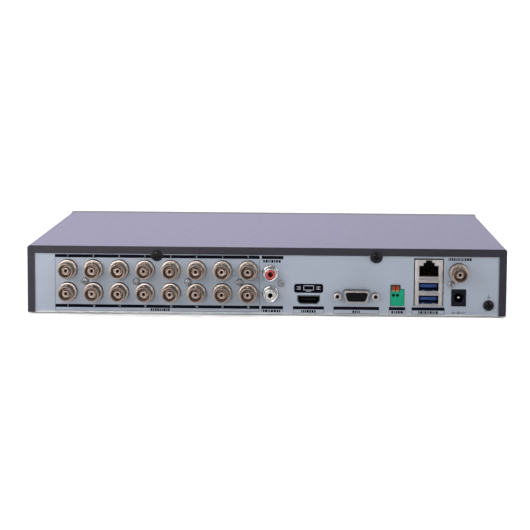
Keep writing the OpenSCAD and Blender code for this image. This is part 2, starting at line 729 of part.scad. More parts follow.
module fan_frame() color("#18181a") {
    x0 = fan_x0();
    difference() {
        slab_x(x0, x0 + fan_t) rect([fan_y - 20, fan_z - 20], [fan_y + 20, fan_z + 20]);
        rod_x(fan_bore_d, x0 - 1, x0 + fan_t + 1, fan_y, fan_z);
        for (i = [-1, 1], j = [-1, 1]) rod_x(3.4, x0 - 1, x0 + fan_t + 1, fan_y + i * 16, fan_z + j * 16);
    }
    // Motor plate on three struts, with the bearing
    difference() {
        union() {
            rod_x(fan_hub_d, x0 + fan_t - 1.6, x0 + fan_t, fan_y, fan_z);
            rod_x(5, x0 + fan_t - 5, x0 + fan_t - 1, fan_y, fan_z);
            for (a = [30, 150, 270]) translate([x0 + fan_t - 1.6, fan_y, fan_z]) rotate([a, 0, 0])
                translate([0, fan_hub_d / 2 - 1, -1]) cube([1.6, 10.5, 2]);
        }
        rod_x(2.1, x0, x0 + fan_t - 0.8, fan_y, fan_z);
    }
}

module fan_screws() color("#c8c8c8") for (i = [-1, 1], j = [-1, 1])
    translate([fan_x0() + fan_t, fan_y + i * 16, fan_z + j * 16]) rotate([0, 90, 0]) difference() {
        union() {
            cylinder(d = 5.4, h = 1.6);
            translate([0, 0, -fan_t - 0.9]) cylinder(d = 2.9, h = fan_t + 1);
        }
        for (a = [0, 90]) rotate([0, 0, a]) translate([-1.5, -0.4, 0.8]) cube([3, 0.8, 2]);
    }

module fan_rotor() color("#232326") {
    x0 = fan_x0() + 0.8;
    hub_end = fan_x0() + fan_t - 2.2;
    translate([x0, fan_y, fan_z]) rotate([0, 90, 0]) {
        difference() {
            cylinder(d = fan_hub_d - 1, h = hub_end - x0);
            translate([0, 0, 1.2]) cylinder(d = fan_hub_d - 3, h = fan_t);
        }
        cylinder(d = 2, h = fan_t - 2.2);
        intersection() {
            difference() {
                cylinder(d = fan_bore_d - 1.2, h = hub_end - x0);
                translate([0, 0, -1]) cylinder(d = fan_hub_d - 2, h = fan_t);
            }
            for (i = [0:fan_blades - 1]) rotate([0, 0, i * 360 / fan_blades])
                translate([13, 0, (hub_end - x0) / 2]) rotate([38, 0, 0]) cube([13, 1, 9.5], center = true);
        }
    }
}

// ---------- hard disk ----------

module hdd_place() translate([hdd_x, hdd_y, hdd_z]) children();

module hdd_cavity() {
    translate(hdd_spindle) circle(d = platter_d + 3);
    rect([2, -44], [66, 44]);
}

module hdd_base() color("#9a9da1") hdd_place() difference() {
    union() {
        difference() {
            translate([-hdd_size[0] / 2, -hdd_size[1] / 2, 0])
                cube([hdd_size[0], hdd_size[1], hdd_size[2] - hdd_lid_t]);
            translate([0, 0, hdd_cavity_z]) linear_extrude(hdd_size[2]) hdd_cavity();
        }
        translate([hdd_pivot[0], hdd_pivot[1], hdd_cavity_z - eps])
            cylinder(d = 7.9, h = hdd_size[2] - hdd_lid_t - hdd_cavity_z);
        translate([hdd_spindle[0], hdd_spindle[1], hdd_cavity_z - eps]) difference() {
            cylinder(d = 14, h = 3);
            translate([0, 0, -1]) cylinder(d = 6.1, h = 5);
        }
    }
    // Recess for the circuit board and the socket, the shaft's seat, and the threaded holes underneath
    translate([-30, -42, -1]) cube([hdd_size[0] / 2 + 31, 84, 4]);
    translate([hdd_size[0] / 2 - 12, -38, -1]) cube([14, 56, 7.5]);
    translate([hdd_spindle[0], hdd_spindle[1], 5]) cylinder(d = 6.1, h = 6);
    for (i = [-1, 1], j = [-1, 1])
        translate([hdd_screw_shift + i * hdd_screw_gap[0] / 2, j * hdd_screw_gap[1] / 2 * 0.97, -1])
            cylinder(d = 3, h = 5.5);
}

module hdd_lid() color("#c6c8ca") hdd_place() {
    lid_z = hdd_size[2] - hdd_lid_t;
    difference() {
        translate([-hdd_size[0] / 2 + 1, -hdd_size[1] / 2 + 1, lid_z])
            cube([hdd_size[0] - 2, hdd_size[1] - 2, hdd_lid_t]);
        // Pressed ring over the platters, and the screw seats
        translate([hdd_spindle[0], hdd_spindle[1], lid_z + hdd_lid_t - 0.4]) difference() {
            cylinder(d = 84, h = 1);
            translate([0, 0, -1]) cylinder(d = 78, h = 3);
        }
        for (i = [-1, 1], j = [-1, 0, 1])
            translate([i * (hdd_size[0] / 2 - 5), j * 44, lid_z + hdd_lid_t - 0.5])
                cylinder(d = 4.4, h = 1);
    }
}

module hdd_platters() color("#d4d6d8") hdd_place() translate([hdd_spindle[0], hdd_spindle[1], 0]) {
    for (level = hdd_platter_levels) translate([0, 0, level]) cylinder(d = platter_d, h = 1.3);
    translate([0, 0, hdd_cavity_z + 3.5]) cylinder(d = 25, h = 10.2);
    translate([0, 0, 5.5]) cylinder(d = 6, h = hdd_cavity_z - 1.5);
    translate([0, 0, hdd_cavity_z + 13.6]) cylinder(d = 30, h = 0.8);
}

module hdd_actuator() color("#b8babd") hdd_place() translate([hdd_pivot[0], hdd_pivot[1], 0]) {
    arm_levels = [for (level = hdd_platter_levels) each [level - 1.7, level + 2.2]];
    difference() {
        union() {
            translate([0, 0, hdd_cavity_z + 1]) cylinder(d = 14, h = 13.6);
            for (z = arm_levels) translate([0, 0, z]) rotate([0, 0, hdd_park_angle]) linear_extrude(0.9)
                polygon([[0, -5.5], [26, -3.2], [hdd_arm_l, -1.2], [hdd_arm_l, 1.2], [26, 3.2], [0, 5.5]]);
            // Flat voice coil on the tail
            translate([0, 0, hdd_cavity_z + 5.5]) rotate([0, 0, hdd_park_angle + 180]) linear_extrude(2.6)
                polygon([[0, -6], [11, -8.5], [17, -8.5], [19, 0], [17, 8.5], [11, 8.5], [0, 6]]);
        }
        translate([0, 0, hdd_cavity_z]) cylinder(d = 8, h = 20);
    }
}

module hdd_circuit_board() color("#17602f") hdd_place() {
    translate([-29.5, -41.5, 0.8]) cube([hdd_size[0] / 2 + 17.2, 83, hdd_board_t]);
    translate([hdd_size[0] / 2 - 12.3, -37.5, 0.8]) cube([12, 55, hdd_board_t]);
    // Socket for data and power
    translate([hdd_size[0] / 2 - 9, -34, 2]) difference() {
        cube([8.6, 48, 4]);
        translate([3, 1, 1]) cube([8, 14, 2]);
        translate([3, 17, 1]) cube([8, 30, 2]);
    }
}

module hdd_screws() color("#c8c8c8") hdd_place() for (i = [-1, 1], j = [-1, 1])
    translate([hdd_screw_shift + i * hdd_screw_gap[0] / 2, j * hdd_screw_gap[1] / 2 * 0.97,
               base_z - hdd_z - 0.9])
        difference() {
            union() {
                cylinder(d = 5.6, h = 0.9);
                cylinder(d = 2.9, h = 7.8);
            }
            for (a = [0, 90]) rotate([0, 0, a]) translate([-1.5, -0.4, -1]) cube([3, 0.8, 1.5]);
        }

// ---------- cables ----------

// Points along a smooth curve through a list of places
function spline_point(p, i, t) =
    let (n = len(p) - 1,
         a = p[max(i - 1, 0)], b = p[i], c = p[min(i + 1, n)], d = p[min(i + 2, n)])
    0.5 * (2 * b + (c - a) * t + (2 * a - 5 * b + 4 * c - d) * t * t + (3 * b - a - 3 * c + d) * t * t * t);
function spline(p, steps) = concat(
    [for (i = [0:len(p) - 2], s = [0:steps - 1]) spline_point(p, i, s / steps)], [p[len(p) - 1]]
);
function normal_at(p, i) =
    let (d = p[min(i + 1, len(p) - 1)] - p[max(i - 1, 0)]) [-d[1], d[0]] / norm(d);

// A flat cable that stands on its edge and follows a route in X and Y
module ribbon(route, z, width, t) {
    p = spline(route, 6);
    n = len(p) - 1;
    left = [for (i = [0:n]) p[i] + normal_at(p, i) * t / 2];
    right = [for (i = [n:-1:0]) p[i] - normal_at(p, i) * t / 2];
    translate([0, 0, z]) linear_extrude(width) polygon(concat(left, right));
}

hdd_plug_x = hdd_x + hdd_size[0] / 2;
data_plug_y = hdd_y - 26;
power_plug_y = hdd_y - 2;
data_route = [
    [hdd_plug_x + 9, data_plug_y], [hdd_plug_x + 16, data_plug_y + 1], [hdd_plug_x + 24, data_plug_y + 10],
    [hdd_plug_x + 27, hdd_y + 10], [hdd_plug_x + 26, hdd_y + 40], [headers[0][0] + 2, board_y - 6],
    [headers[0][0], board_y + 9]
];
power_route = [
    [hdd_plug_x + 9, power_plug_y], [hdd_plug_x + 14, power_plug_y + 2], [hdd_plug_x + 17, power_plug_y + 12],
    [hdd_plug_x + 12, hdd_y + 34], [headers[1][0] + 4, board_y - 7], [headers[1][0], board_y + 2],
    [headers[1][0], board_y + 9]
];
panel_route = [
    [indicator_x + 14, tray_front_y + 25], [indicator_x + 15, tray_front_y + 32],
    [indicator_x + 18, tray_front_y + 52],
    [indicator_x + 14, board_y - 30], [headers[2][0] + 4, board_y - 6], [headers[2][0], board_y + 9]
];
cable_z = board_top + 9;
cable_plug_z = board_top + 2.2;

// Plug on the hard disk's end, with a tower up to the cable
module hdd_plug(y0, width) {
    translate([hdd_plug_x + 0.2, y0, hdd_z + 1]) cube([9, width, 6]);
    translate([hdd_plug_x + 3, y0 + 2, hdd_z + 7 - eps]) cube([6.2, width - 4, cable_z + 8 - hdd_z - 7]);
}

module disk_data_cable() {
    color("#b02a22") ribbon(data_route, cable_z, 8, 1.2);
    color("#151517") translate([headers[0][0] - 6.5, headers[0][1] - 2, cable_plug_z])
        cube([13, 4, cable_z + 8.2 - cable_plug_z]);
    color("#151517") hdd_plug(data_plug_y - 7.4, 14.8);
}

module disk_power_cable() {
    color("#d0b040") ribbon(power_route, cable_z, 8, 1.6);
    color("#d9d6c9") translate([headers[1][0] - 4.2, headers[1][1] - 2, cable_plug_z])
        cube([8.4, 4, cable_z + 8.2 - cable_plug_z]);
    color("#151517") hdd_plug(power_plug_y - 8, 24);
}

module front_panel_cable() color("#d8d8d4") {
    ribbon(panel_route, cable_z, 9, 1);
    translate([headers[2][0] - 9, headers[2][1] - 1.6, cable_plug_z])
        cube([18, 3.2, cable_z + 9.2 - cable_plug_z]);
    translate([indicator_x + 7, tray_front_y + 21.8, front_board_z])
        cube([14, 4, cable_z + 9 - front_board_z]);
}

// ---------- choice of node ----------

base_tray();
rear_panel();
top_cover();
front_bezel();
rubber_feet();
cover_screws();
ground_screw();
board_standoffs();
bnc_block(0);  // bnc_block_1
bnc_block(1);  // bnc_block_2
bnc_block(2);  // bnc_block_3
bnc_block(3);  // bnc_block_4
bnc_shells();
bnc_insulators();
bnc_contacts();
connector_screws();
video_out_housing();
audio_housing();
audio_shells();
audio_in_insert();
audio_out_insert();
audio_contacts();
hdmi_shell();
hdmi_tongue();
vga_shell();
vga_insert();
vga_hex_posts();
terminal_housing();
terminal_lever_1();
terminal_lever_2();
network_usb_shield();
network_usb_insert();
usb_tongues();
power_jack_housing();
power_jack_pin();
mainboard();
heat_sink();
board_chips();
board_capacitors();
backup_battery();
board_headers();
board_screws();
indicator_board();
status_light_pipes();
front_usb_shell();
front_usb_tongue();
fan_frame();
fan_screws();
fan_rotor();
hdd_base();
hdd_lid();
hdd_platters();
hdd_actuator();
hdd_circuit_board();
hdd_screws();
disk_data_cable();
disk_power_cable();
front_panel_cable();
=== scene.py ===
"""Looks of a video recorder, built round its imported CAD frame.

Metres, +Z up, the bezel faces -Y and the sockets face +Y. Shapes are written in millimetres and turned into
metres when they become pieces.
"""

import json
import math
import random

import bmesh
import bpy
from mathutils import Matrix, Vector


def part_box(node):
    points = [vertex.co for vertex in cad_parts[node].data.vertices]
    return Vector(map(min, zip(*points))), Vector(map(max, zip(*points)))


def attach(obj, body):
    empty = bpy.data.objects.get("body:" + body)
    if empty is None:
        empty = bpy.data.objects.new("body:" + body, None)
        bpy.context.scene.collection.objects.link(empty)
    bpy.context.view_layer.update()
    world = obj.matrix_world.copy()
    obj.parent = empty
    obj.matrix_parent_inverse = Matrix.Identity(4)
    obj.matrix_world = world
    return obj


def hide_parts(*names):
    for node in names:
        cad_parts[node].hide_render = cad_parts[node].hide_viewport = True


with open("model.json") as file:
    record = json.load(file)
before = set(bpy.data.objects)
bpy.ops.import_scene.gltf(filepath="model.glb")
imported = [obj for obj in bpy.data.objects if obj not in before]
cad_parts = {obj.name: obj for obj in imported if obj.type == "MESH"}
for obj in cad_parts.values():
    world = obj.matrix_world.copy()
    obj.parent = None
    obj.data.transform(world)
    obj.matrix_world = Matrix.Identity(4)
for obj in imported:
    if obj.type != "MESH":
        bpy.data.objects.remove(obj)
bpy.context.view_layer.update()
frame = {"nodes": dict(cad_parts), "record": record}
MM = 0.001
NODES = frame["nodes"]

# ---------------------------------------------------------------- places taken from the frame


def box_mm(node):
    """Lowest and highest corner of a CAD node, in millimetres."""
    low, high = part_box(node)
    return low / MM, high / MM


def solids_mm(node):
    """Boxes of the separate solids of a CAD node, in millimetres, ordered by place."""
    mesh = NODES[node].data
    parent = list(range(len(mesh.vertices)))

    def root(i):
        while parent[i] != i:
            parent[i] = parent[parent[i]]
            i = parent[i]
        return i

    seen = {}
    for v in mesh.vertices:
        key = tuple(round(c, 6) for c in v.co)
        parent[root(v.index)] = root(seen.setdefault(key, v.index))
    for e in mesh.edges:
        parent[root(e.vertices[0])] = root(e.vertices[1])
    groups = {}
    for v in mesh.vertices:
        groups.setdefault(root(v.index), []).append(v.co / MM)
    found = []
    for points in groups.values():
        low = Vector(min(p[a] for p in points) for a in range(3))
        high = Vector(max(p[a] for p in points) for a in range(3))
        found.append((low, high))
    return sorted(found, key=lambda b: tuple(round(c, 2) for c in b[0]))


def middle(pair):
    return (pair[0] + pair[1]) / 2


def centre(node):
    return middle(box_mm(node))


def spots(node):
    """Where the solids of a node stand on the rear panel, as (x, z)."""
    return [(middle(b).x, middle(b).z) for b in solids_mm(node)]


BASE_Z = box_mm("base_tray")[0].z
PANEL_Y = box_mm("rear_panel")[1].y
REAR_Y = box_mm("top_cover")[1].y
TIP_Y = box_mm("bnc_shells")[1].y
BOARD_Z = box_mm("mainboard")[1].z

# ---------------------------------------------------------------- camera

FIT_TARGET = Vector((3.61, -6.0, 17.64 + BASE_Z)) * MM
FIT_DISTANCE = 1.2621
FIT_AZIMUTH = math.radians(181.33)
FIT_ELEVATION = math.radians(7.5)
FIT_ROLL = math.radians(0.37)
FIT_LENS = 118.6


def make_camera():
    data = bpy.data.cameras.new("photo_camera")
    data.lens = FIT_LENS
    data.sensor_width = 36.0
    data.clip_start = 0.05
    data.clip_end = 50.0
    cam = bpy.data.objects.new("photo_camera", data)
    bpy.context.scene.collection.objects.link(cam)
    flat = math.cos(FIT_ELEVATION)
    out = Vector((math.sin(FIT_AZIMUTH) * flat, -math.cos(FIT_AZIMUTH) * flat, math.sin(FIT_ELEVATION)))
    right = (-out).cross(Vector((0, 0, 1))).normalized()
    up = right.cross(-out)
    c, s = math.cos(FIT_ROLL), math.sin(FIT_ROLL)
    right, up = right * c + up * s, up * c - right * s
    turn = Matrix((right, up, out)).transposed().to_4x4()
    cam.matrix_world = Matrix.Translation(FIT_TARGET + out * FIT_DISTANCE) @ turn
    bpy.context.scene.camera = cam


bpy.context.scene.view_settings.view_transform = "Standard"
make_camera()

# ---------------------------------------------------------------- materials


def shade(color, by):
    """The same colour, darker or lighter."""
    return tuple(min(1.0, c * by) for c in color)


class Finish:
    """A node material: colour variation, roughness variation and grain, all in object space."""

    def __init__(self, name, color, rough, metal=0.0, **sockets):
        self.mat = bpy.data.materials.new(name)
        self.mat.use_nodes = True
        self.tree = self.mat.node_tree
        self.bsdf = self.tree.nodes["Principled BSDF"]
        self.color = color
        self.rough = rough
        self.bsdf.inputs["Base Color"].default_value = (*color, 1)
        self.bsdf.inputs["Roughness"].default_value = rough
        self.bsdf.inputs["Metallic"].default_value = metal
        for key, value in sockets.items():
            self.bsdf.inputs[key.replace("_", " ")].default_value = value
        self.place = self.node("ShaderNodeTexCoord").outputs["Object"]
        self.normal = None

    def node(self, kind, **props):
        made = self.tree.nodes.new(kind)
        for key, value in props.items():
            setattr(made, key, value)
        return made

    def link(self, a, b):
        self.tree.links.new(a, b)

    def stretched(self, scale):
        """Object coordinates stretched along the axes, for brushed or ribbed looks."""
        m = self.node("ShaderNodeMapping")
        m.inputs["Scale"].default_value = scale
        self.link(self.place, m.inputs["Vector"])
        return m.outputs["Vector"]

    def noise(self, size_mm, detail=3.0, rough=0.5, scale=None):
        n = self.node("ShaderNodeTexNoise")
        n.inputs["Scale"].default_value = 1 / (size_mm * MM)
        n.inputs["Detail"].default_value = detail
        n.inputs["Roughness"].default_value = rough
        self.link(self.stretched(scale) if scale else self.place, n.inputs["Vector"])
        return n.outputs["Fac"]

    def cells(self, size_mm, output="Distance"):
        n = self.node("ShaderNodeTexVoronoi")
        n.inputs["Scale"].default_value = 1 / (size_mm * MM)
        self.link(self.place, n.inputs["Vector"])
        return n.outputs[output]

    def ramp(self, fac, stops):
        r = self.node("ShaderNodeValToRGB")
        points = r.color_ramp.elements
        points[0].position, points[0].color = stops[0][0], (*stops[0][1], 1)
        points[1].position, points[1].color = stops[-1][0], (*stops[-1][1], 1)
        for at, c in stops[1:-1]:
            points.new(at).color = (*c, 1)
        self.link(fac, r.inputs["Fac"])
        return r.outputs["Color"]

    def mix(self, fac, a, b):
        m = self.node("ShaderNodeMix", data_type="RGBA")
        for socket, value in ((m.inputs[0], fac), (m.inputs[6], a), (m.inputs[7], b)):
            if isinstance(value, (tuple, list)):
                socket.default_value = (*value, 1)
            elif isinstance(value, (int, float)):
                socket.default_value = value
            else:
                self.link(value, socket)
        return m.outputs[2]

    def span(self, fac, low, high, to_low, to_high):
        m = self.node("ShaderNodeMapRange")
        for key, value in (("From Min", low), ("From Max", high), ("To Min", to_low), ("To Max", to_high)):
            m.inputs[key].default_value = value
        self.link(fac, m.inputs["Value"])
        return m.outputs["Result"]

    def paint(self, socket_value):
        self.link(socket_value, self.bsdf.inputs["Base Color"])
        return self

    def mottle(self, size_mm, amount):
        """Base colour a little darker and lighter in patches."""
        stops = [(0.3, shade(self.color, 1 - amount)), (0.7, shade(self.color, 1 + amount))]
        return self.paint(self.ramp(self.noise(size_mm, 4.0), stops))

    def scuff(self, size_mm, amount, scale=None):
        """Roughness that wanders about its middle value."""
        fac = self.noise(size_mm, 5.0, 0.6, scale)
        low, high = max(0.02, self.rough - amount), min(1.0, self.rough + amount)
        self.link(self.span(fac, 0.3, 0.7, low, high), self.bsdf.inputs["Roughness"])
        return self

    def bump(self, fac, depth_mm):
        b = self.node("ShaderNodeBump")
        b.inputs["Distance"].default_value = depth_mm * MM
        b.inputs["Strength"].default_value = 1.0
        self.link(fac, b.inputs["Height"])
        if self.normal is not None:
            self.link(self.normal, b.inputs["Normal"])
        self.normal = b.outputs["Normal"]
        self.link(self.normal, self.bsdf.inputs["Normal"])
        return self

    def grain(self, size_mm, depth_mm, scale=None):
        return self.bump(self.noise(size_mm, 2.0, 0.5, scale), depth_mm)


def plastic(name, color, rough=0.42, grain=0.02, shine=0.5):
    """Moulded plastic with a fine spark-eroded grain."""
    f = Finish(name, color, rough, Specular_IOR_Level=shine)
    return f.mottle(6, 0.1).scuff(3, 0.06).grain(0.35, grain).mat


def gloss(name, color):
    f = Finish(name, color, 0.16, Coat_Weight=0.3, Coat_Roughness=0.08)
    return f.mottle(4, 0.06).scuff(2.5, 0.05).grain(1.6, 0.006).mat


def plated(name, color, rough=0.22, patch=1.6, amount=0.12):
    """Plated metal with faint clouding and fine turning marks."""
    f = Finish(name, color, rough, metal=1.0)
    return f.mottle(patch, amount).scuff(0.9, 0.08).grain(0.25, 0.004).mat


def cover_paint():
    """Fine textured powder coat, violet-black, which turns pale where it is seen along its surface."""
    color = (0.0105, 0.009, 0.0145)
    sheen = {"Sheen_Weight": 0.38, "Sheen_Roughness": 0.27, "Sheen_Tint": (0.62, 0.58, 0.95, 1.0)}
    f = Finish("cover_paint", color, 0.42, Specular_IOR_Level=0.15, **sheen)
    speck = f.noise(0.8, 2.0, 0.6)
    f.paint(f.ramp(speck, [(0.3, shade(color, 0.8)), (0.7, shade(color, 1.25))]))
    f.link(f.span(f.noise(5, 3.0), 0.3, 0.7, 0.4, 0.44), f.bsdf.inputs["Roughness"])
    f.bump(speck, 0.02)
    return f.mat


def panel_paint():
    color = (0.157, 0.178, 0.216)
    f = Finish("panel_paint", color, 0.46)
    patch = f.noise(26, 4.0)
    fleck = f.noise(0.7, 2.0, 0.6)
    base = f.ramp(patch, [(0.3, shade(color, 0.96)), (0.7, shade(color, 1.04))])
    f.paint(f.mix(f.span(fleck, 0.35, 0.65, 0.0, 0.14), base, shade(color, 0.78)))
    f.scuff(8, 0.07)
    f.bump(fleck, 0.018)
    return f.mat


def galvanised():
    f = Finish("galvanised_steel", (0.3, 0.31, 0.32), 0.48, metal=1.0)
    spangle = f.cells(7.0, output="Color")
    grey = f.ramp(spangle, [(0.1, (0.23, 0.238, 0.246)), (0.9, (0.34, 0.35, 0.36))])
    f.paint(grey)
    f.link(f.span(spangle, 0.0, 1.0, 0.38, 0.56), f.bsdf.inputs["Roughness"])
    f.grain(0.8, 0.006)
    return f.mat


def brushed(name, color, rough, scale):
    """Metal with straight brushing along the axis whose scale is small."""
    f = Finish(name, color, rough, metal=1.0)
    f.mottle(12, 0.06)
    f.scuff(0.5, 0.1, scale)
    f.grain(0.35, 0.006, scale)
    return f.mat


def cast_metal():
    f = Finish("cast_aluminium", (0.5, 0.51, 0.53), 0.48, metal=1.0)
    f.mottle(5, 0.12).scuff(2, 0.1)
    f.bump(f.noise(0.9, 4.0, 0.6), 0.05)
    return f.mat


def circuit_green():
    """Solder mask over copper tracks, with rows of small plated holes."""
    f = Finish("circuit_green", (0.018, 0.16, 0.075), 0.3, Coat_Weight=0.35, Coat_Roughness=0.15)
    tracks = f.node("ShaderNodeTexBrick", offset=0.37, squash=0.6)
    layout = {"Scale": 1 / (2.6 * MM), "Mortar Size": 0.11, "Mortar Smooth": 0.1, "Brick Width": 2.7}
    for key, value in {**layout, "Row Height": 0.34}.items():
        tracks.inputs[key].default_value = value
    f.link(f.mix(0.035, f.place, f.noise(30, 1.0)), tracks.inputs["Vector"])
    board = f.mix(tracks.outputs["Fac"], (0.016, 0.135, 0.062), (0.035, 0.25, 0.12))
    holes = f.span(f.cells(3.1), 0.10, 0.13, 1.0, 0.0)
    f.paint(f.mix(holes, board, (0.62, 0.5, 0.25)))
    f.bump(tracks.outputs["Fac"], 0.03)
    f.scuff(6, 0.06)
    return f.mat


def ribbed_cable(name, color, pitch_mm):
    """Flat cable whose cores show as ribs one above the other."""
    f = Finish(name, color, 0.5)
    wave = f.node("ShaderNodeTexWave", wave_type="BANDS", bands_direction="Z")
    wave.inputs["Scale"].default_value = 1 / (pitch_mm * MM) / 20
    wave.inputs["Distortion"].default_value = 0.0
    f.link(f.stretched((1, 1, math.pi)), wave.inputs["Vector"])
    f.paint(f.mix(wave.outputs["Fac"], shade(color, 0.7), color))
    f.bump(wave.outputs["Fac"], 0.18)
    f.scuff(4, 0.08)
    return f.mat


def black_oxide():
    f = Finish("black_oxide", (0.003, 0.003, 0.004), 0.34, Specular_IOR_Level=0.12)
    return f.mottle(1.2, 0.3).scuff(0.8, 0.1).grain(0.3, 0.01).mat


def light_clear():
    f = Finish("light_clear", (0.75, 0.88, 0.84), 0.12, Transmission_Weight=0.6, IOR=1.49)
    return f.mottle(2, 0.05).grain(1.0, 0.004).mat


def platter_mirror():
    f = Finish("platter_mirror", (0.86, 0.87, 0.88), 0.05, metal=1.0)
    return f.mottle(30, 0.02).grain(9.0, 0.002).mat


# One finish for each material slot of the record
M = {
    "cover_paint": cover_paint(),
    "panel_paint": panel_paint(),
    "tray_steel": galvanised(),
    "bezel_plastic": plastic("bezel_plastic", (0.012, 0.012, 0.014), 0.36, 0.015),
    "foot_rubber": plastic("foot_rubber", (0.018, 0.018, 0.018), 0.72, 0.04),
    "black_screws": black_oxide(),
    "steel_screws": plated("zinc_screws", (0.2, 0.2, 0.21), 0.5),
    "socket_block": plastic("socket_block", (0.006, 0.006, 0.007), 0.5, 0.03, shine=0.2),
    "socket_nickel": plated("warm_nickel", (0.21, 0.175, 0.155), 0.4),
    "socket_insulator": plastic("cream_insulator", (0.2, 0.147, 0.12), 0.48, 0.01),
    "contact_gold": plated("gold_plate", (0.83, 0.62, 0.3), 0.22),
    "bright_nickel": plated("bright_nickel", (0.37, 0.362, 0.358), 0.24),
    "audio_red": gloss("audio_red", (0.23, 0.006, 0.009)),
    "audio_white": gloss("audio_white", (0.27, 0.27, 0.268)),
    "display_black": plastic("display_black", (0.002, 0.002, 0.0025), 0.55, 0.012, shine=0.05),
    # Near-black plating, painted shade in place of the display socket shell's bright nickel
    "display_shell": plated("display_shell", (0.06, 0.06, 0.065), 0.4),
    "terminal_green": plastic("terminal_green", (0.0013, 0.15, 0.081), 0.45, 0.015, shine=0.1),
    "terminal_orange": plastic("terminal_orange", (0.17, 0.03, 0.0135), 0.42, 0.015, shine=0.08),
    "shield_tin": plated("tin_shield", (0.26, 0.245, 0.243), 0.4, 3.0, 0.08),
    "usb_blue": plastic("usb_blue", (0.002, 0.02, 0.1), 0.4, 0.008, shine=0.2),
    "board_green": circuit_green(),
    "sink_aluminium": brushed("sink_aluminium", (0.62, 0.64, 0.66), 0.36, (1, 0.05, 1)),
    "chip_black": plastic("chip_black", (0.02, 0.02, 0.022), 0.55, 0.02),
    "capacitor_can": brushed("capacitor_can", (0.72, 0.73, 0.75), 0.3, (1, 1, 0.08)),
    "battery_steel": plated("battery_steel", (0.76, 0.76, 0.77), 0.24),
    "header_ivory": plastic("header_ivory", (0.72, 0.68, 0.56), 0.45, 0.015),
    "light_clear": light_clear(),
    "fan_black": plastic("fan_black", (0.018, 0.018, 0.02), 0.38, 0.015),
    "disk_casting": cast_metal(),
    "disk_lid": brushed("disk_lid", (0.74, 0.75, 0.76), 0.3, (0.04, 1, 1)),
    "platter_mirror": platter_mirror(),
    "arm_aluminium": brushed("arm_aluminium", (0.7, 0.71, 0.73), 0.34, (0.06, 1, 1)),
    "cable_red": ribbed_cable("cable_red", (0.5, 0.03, 0.025), 4.0),
    "cable_mixed": ribbed_cable("cable_mixed", (0.72, 0.5, 0.09), 2.0),
    "cable_grey": ribbed_cable("cable_grey", (0.6, 0.6, 0.57), 1.0),
}
INK_DARK = plastic("ink_dark", (0.0012, 0.0015, 0.004), 0.7, 0.01, shine=0.02)
INK_LIGHT = plastic("ink_light", (0.2, 0.21, 0.24), 0.5, 0.01)
CERAMIC = plastic("ceramic_tan", (0.42, 0.33, 0.22), 0.5, 0.02)
LABEL_PAPER = plastic("label_paper", (0.72, 0.73, 0.73), 0.6, 0.01)
WINDING = plated("copper_winding", (0.75, 0.33, 0.16), 0.35)
# Bronze for the coaxial sockets: a lighter copy painted as light inside the barrels, a darker copy painted as
# shade on their rims
CUP_BRONZE_PAINTED_LIGHT = plated("cup_bronze_painted_light", (0.33, 0.26, 0.22), 0.46)
RIM_BRONZE_PAINTED_SHADE = plated("rim_bronze_painted_shade", (0.15, 0.115, 0.1), 0.45)
# Dark bronze painted as shade on contacts and bores deep inside the sockets, in place of their bright plating
BRONZE_PAINTED_SHADE = plated("bronze_painted_shade", (0.055, 0.037, 0.025), 0.55)
# A shaded and a lit copy of the tin: painted shade and painted light
TIN_PAINTED_SHADE = plated("tin_painted_shade", (0.17, 0.16, 0.165), 0.4)
TIN_PAINTED_LIGHT = plated("tin_painted_light", (0.2, 0.187, 0.187), 0.44)
# Darker red painted as the shade inside the red audio socket
RED_PAINTED_SHADE = plastic("red_painted_shade", (0.1, 0.002, 0.003), 0.45, 0.01, shine=0.2)
# Darker green painted as shade on the terminal block's sides and in its wire entries
GREEN_PAINTED_SHADE = plastic("green_painted_shade", (0.002, 0.05, 0.03), 0.5, 0.015, shine=0.2)
# Maroon painted as shade in the lever slot and on the lever tops
MAROON_PAINTED_SHADE = plastic("maroon_painted_shade", (0.07, 0.008, 0.006), 0.5, 0.015, shine=0.2)
OLIVE = plastic("lever_olive", (0.24, 0.2, 0.1), 0.5, 0.015, shine=0.2)
JACK_BLACK = plastic("jack_black", (0.0025, 0.003, 0.006), 0.55, 0.015, shine=0.06)

# ---------------------------------------------------------------- shapes


def soft(profile, radius):
    """The same line with each inner corner rounded."""
    out = [profile[0]]
    for a, b, c in zip(profile, profile[1:], profile[2:]):
        a, b, c = Vector(a), Vector(b), Vector(c)
        reach = min(radius, (a - b).length * 0.45, (c - b).length * 0.45)
        start, end = b + (a - b).normalized() * reach, b + (c - b).normalized() * reach
        for t in (0.0, 0.5, 1.0):
            p = start * (1 - t) ** 2 + b * 2 * t * (1 - t) + end * t**2
            out.append((p.x, p.y))
    out.append(profile[-1])
    return out


AXES = {
    "x": Matrix(((0, 0, 1), (1, 0, 0), (0, 1, 0))),
    "y": Matrix(((1, 0, 0), (0, 0, 1), (0, -1, 0))),
    "-y": Matrix(((-1, 0, 0), (0, 0, -1), (0, -1, 0))),
    "z": Matrix.Identity(3),
    "-z": Matrix(((1, 0, 0), (0, -1, 0), (0, 0, -1))),
}


def round_edges(bm, edges, width, segments, clamp=False):
    look = {"offset_type": "OFFSET", "profile": 0.5, "affect": "EDGES", "clamp_overlap": clamp}
    bmesh.ops.bevel(bm, geom=edges, offset=width, segments=segments, **look)


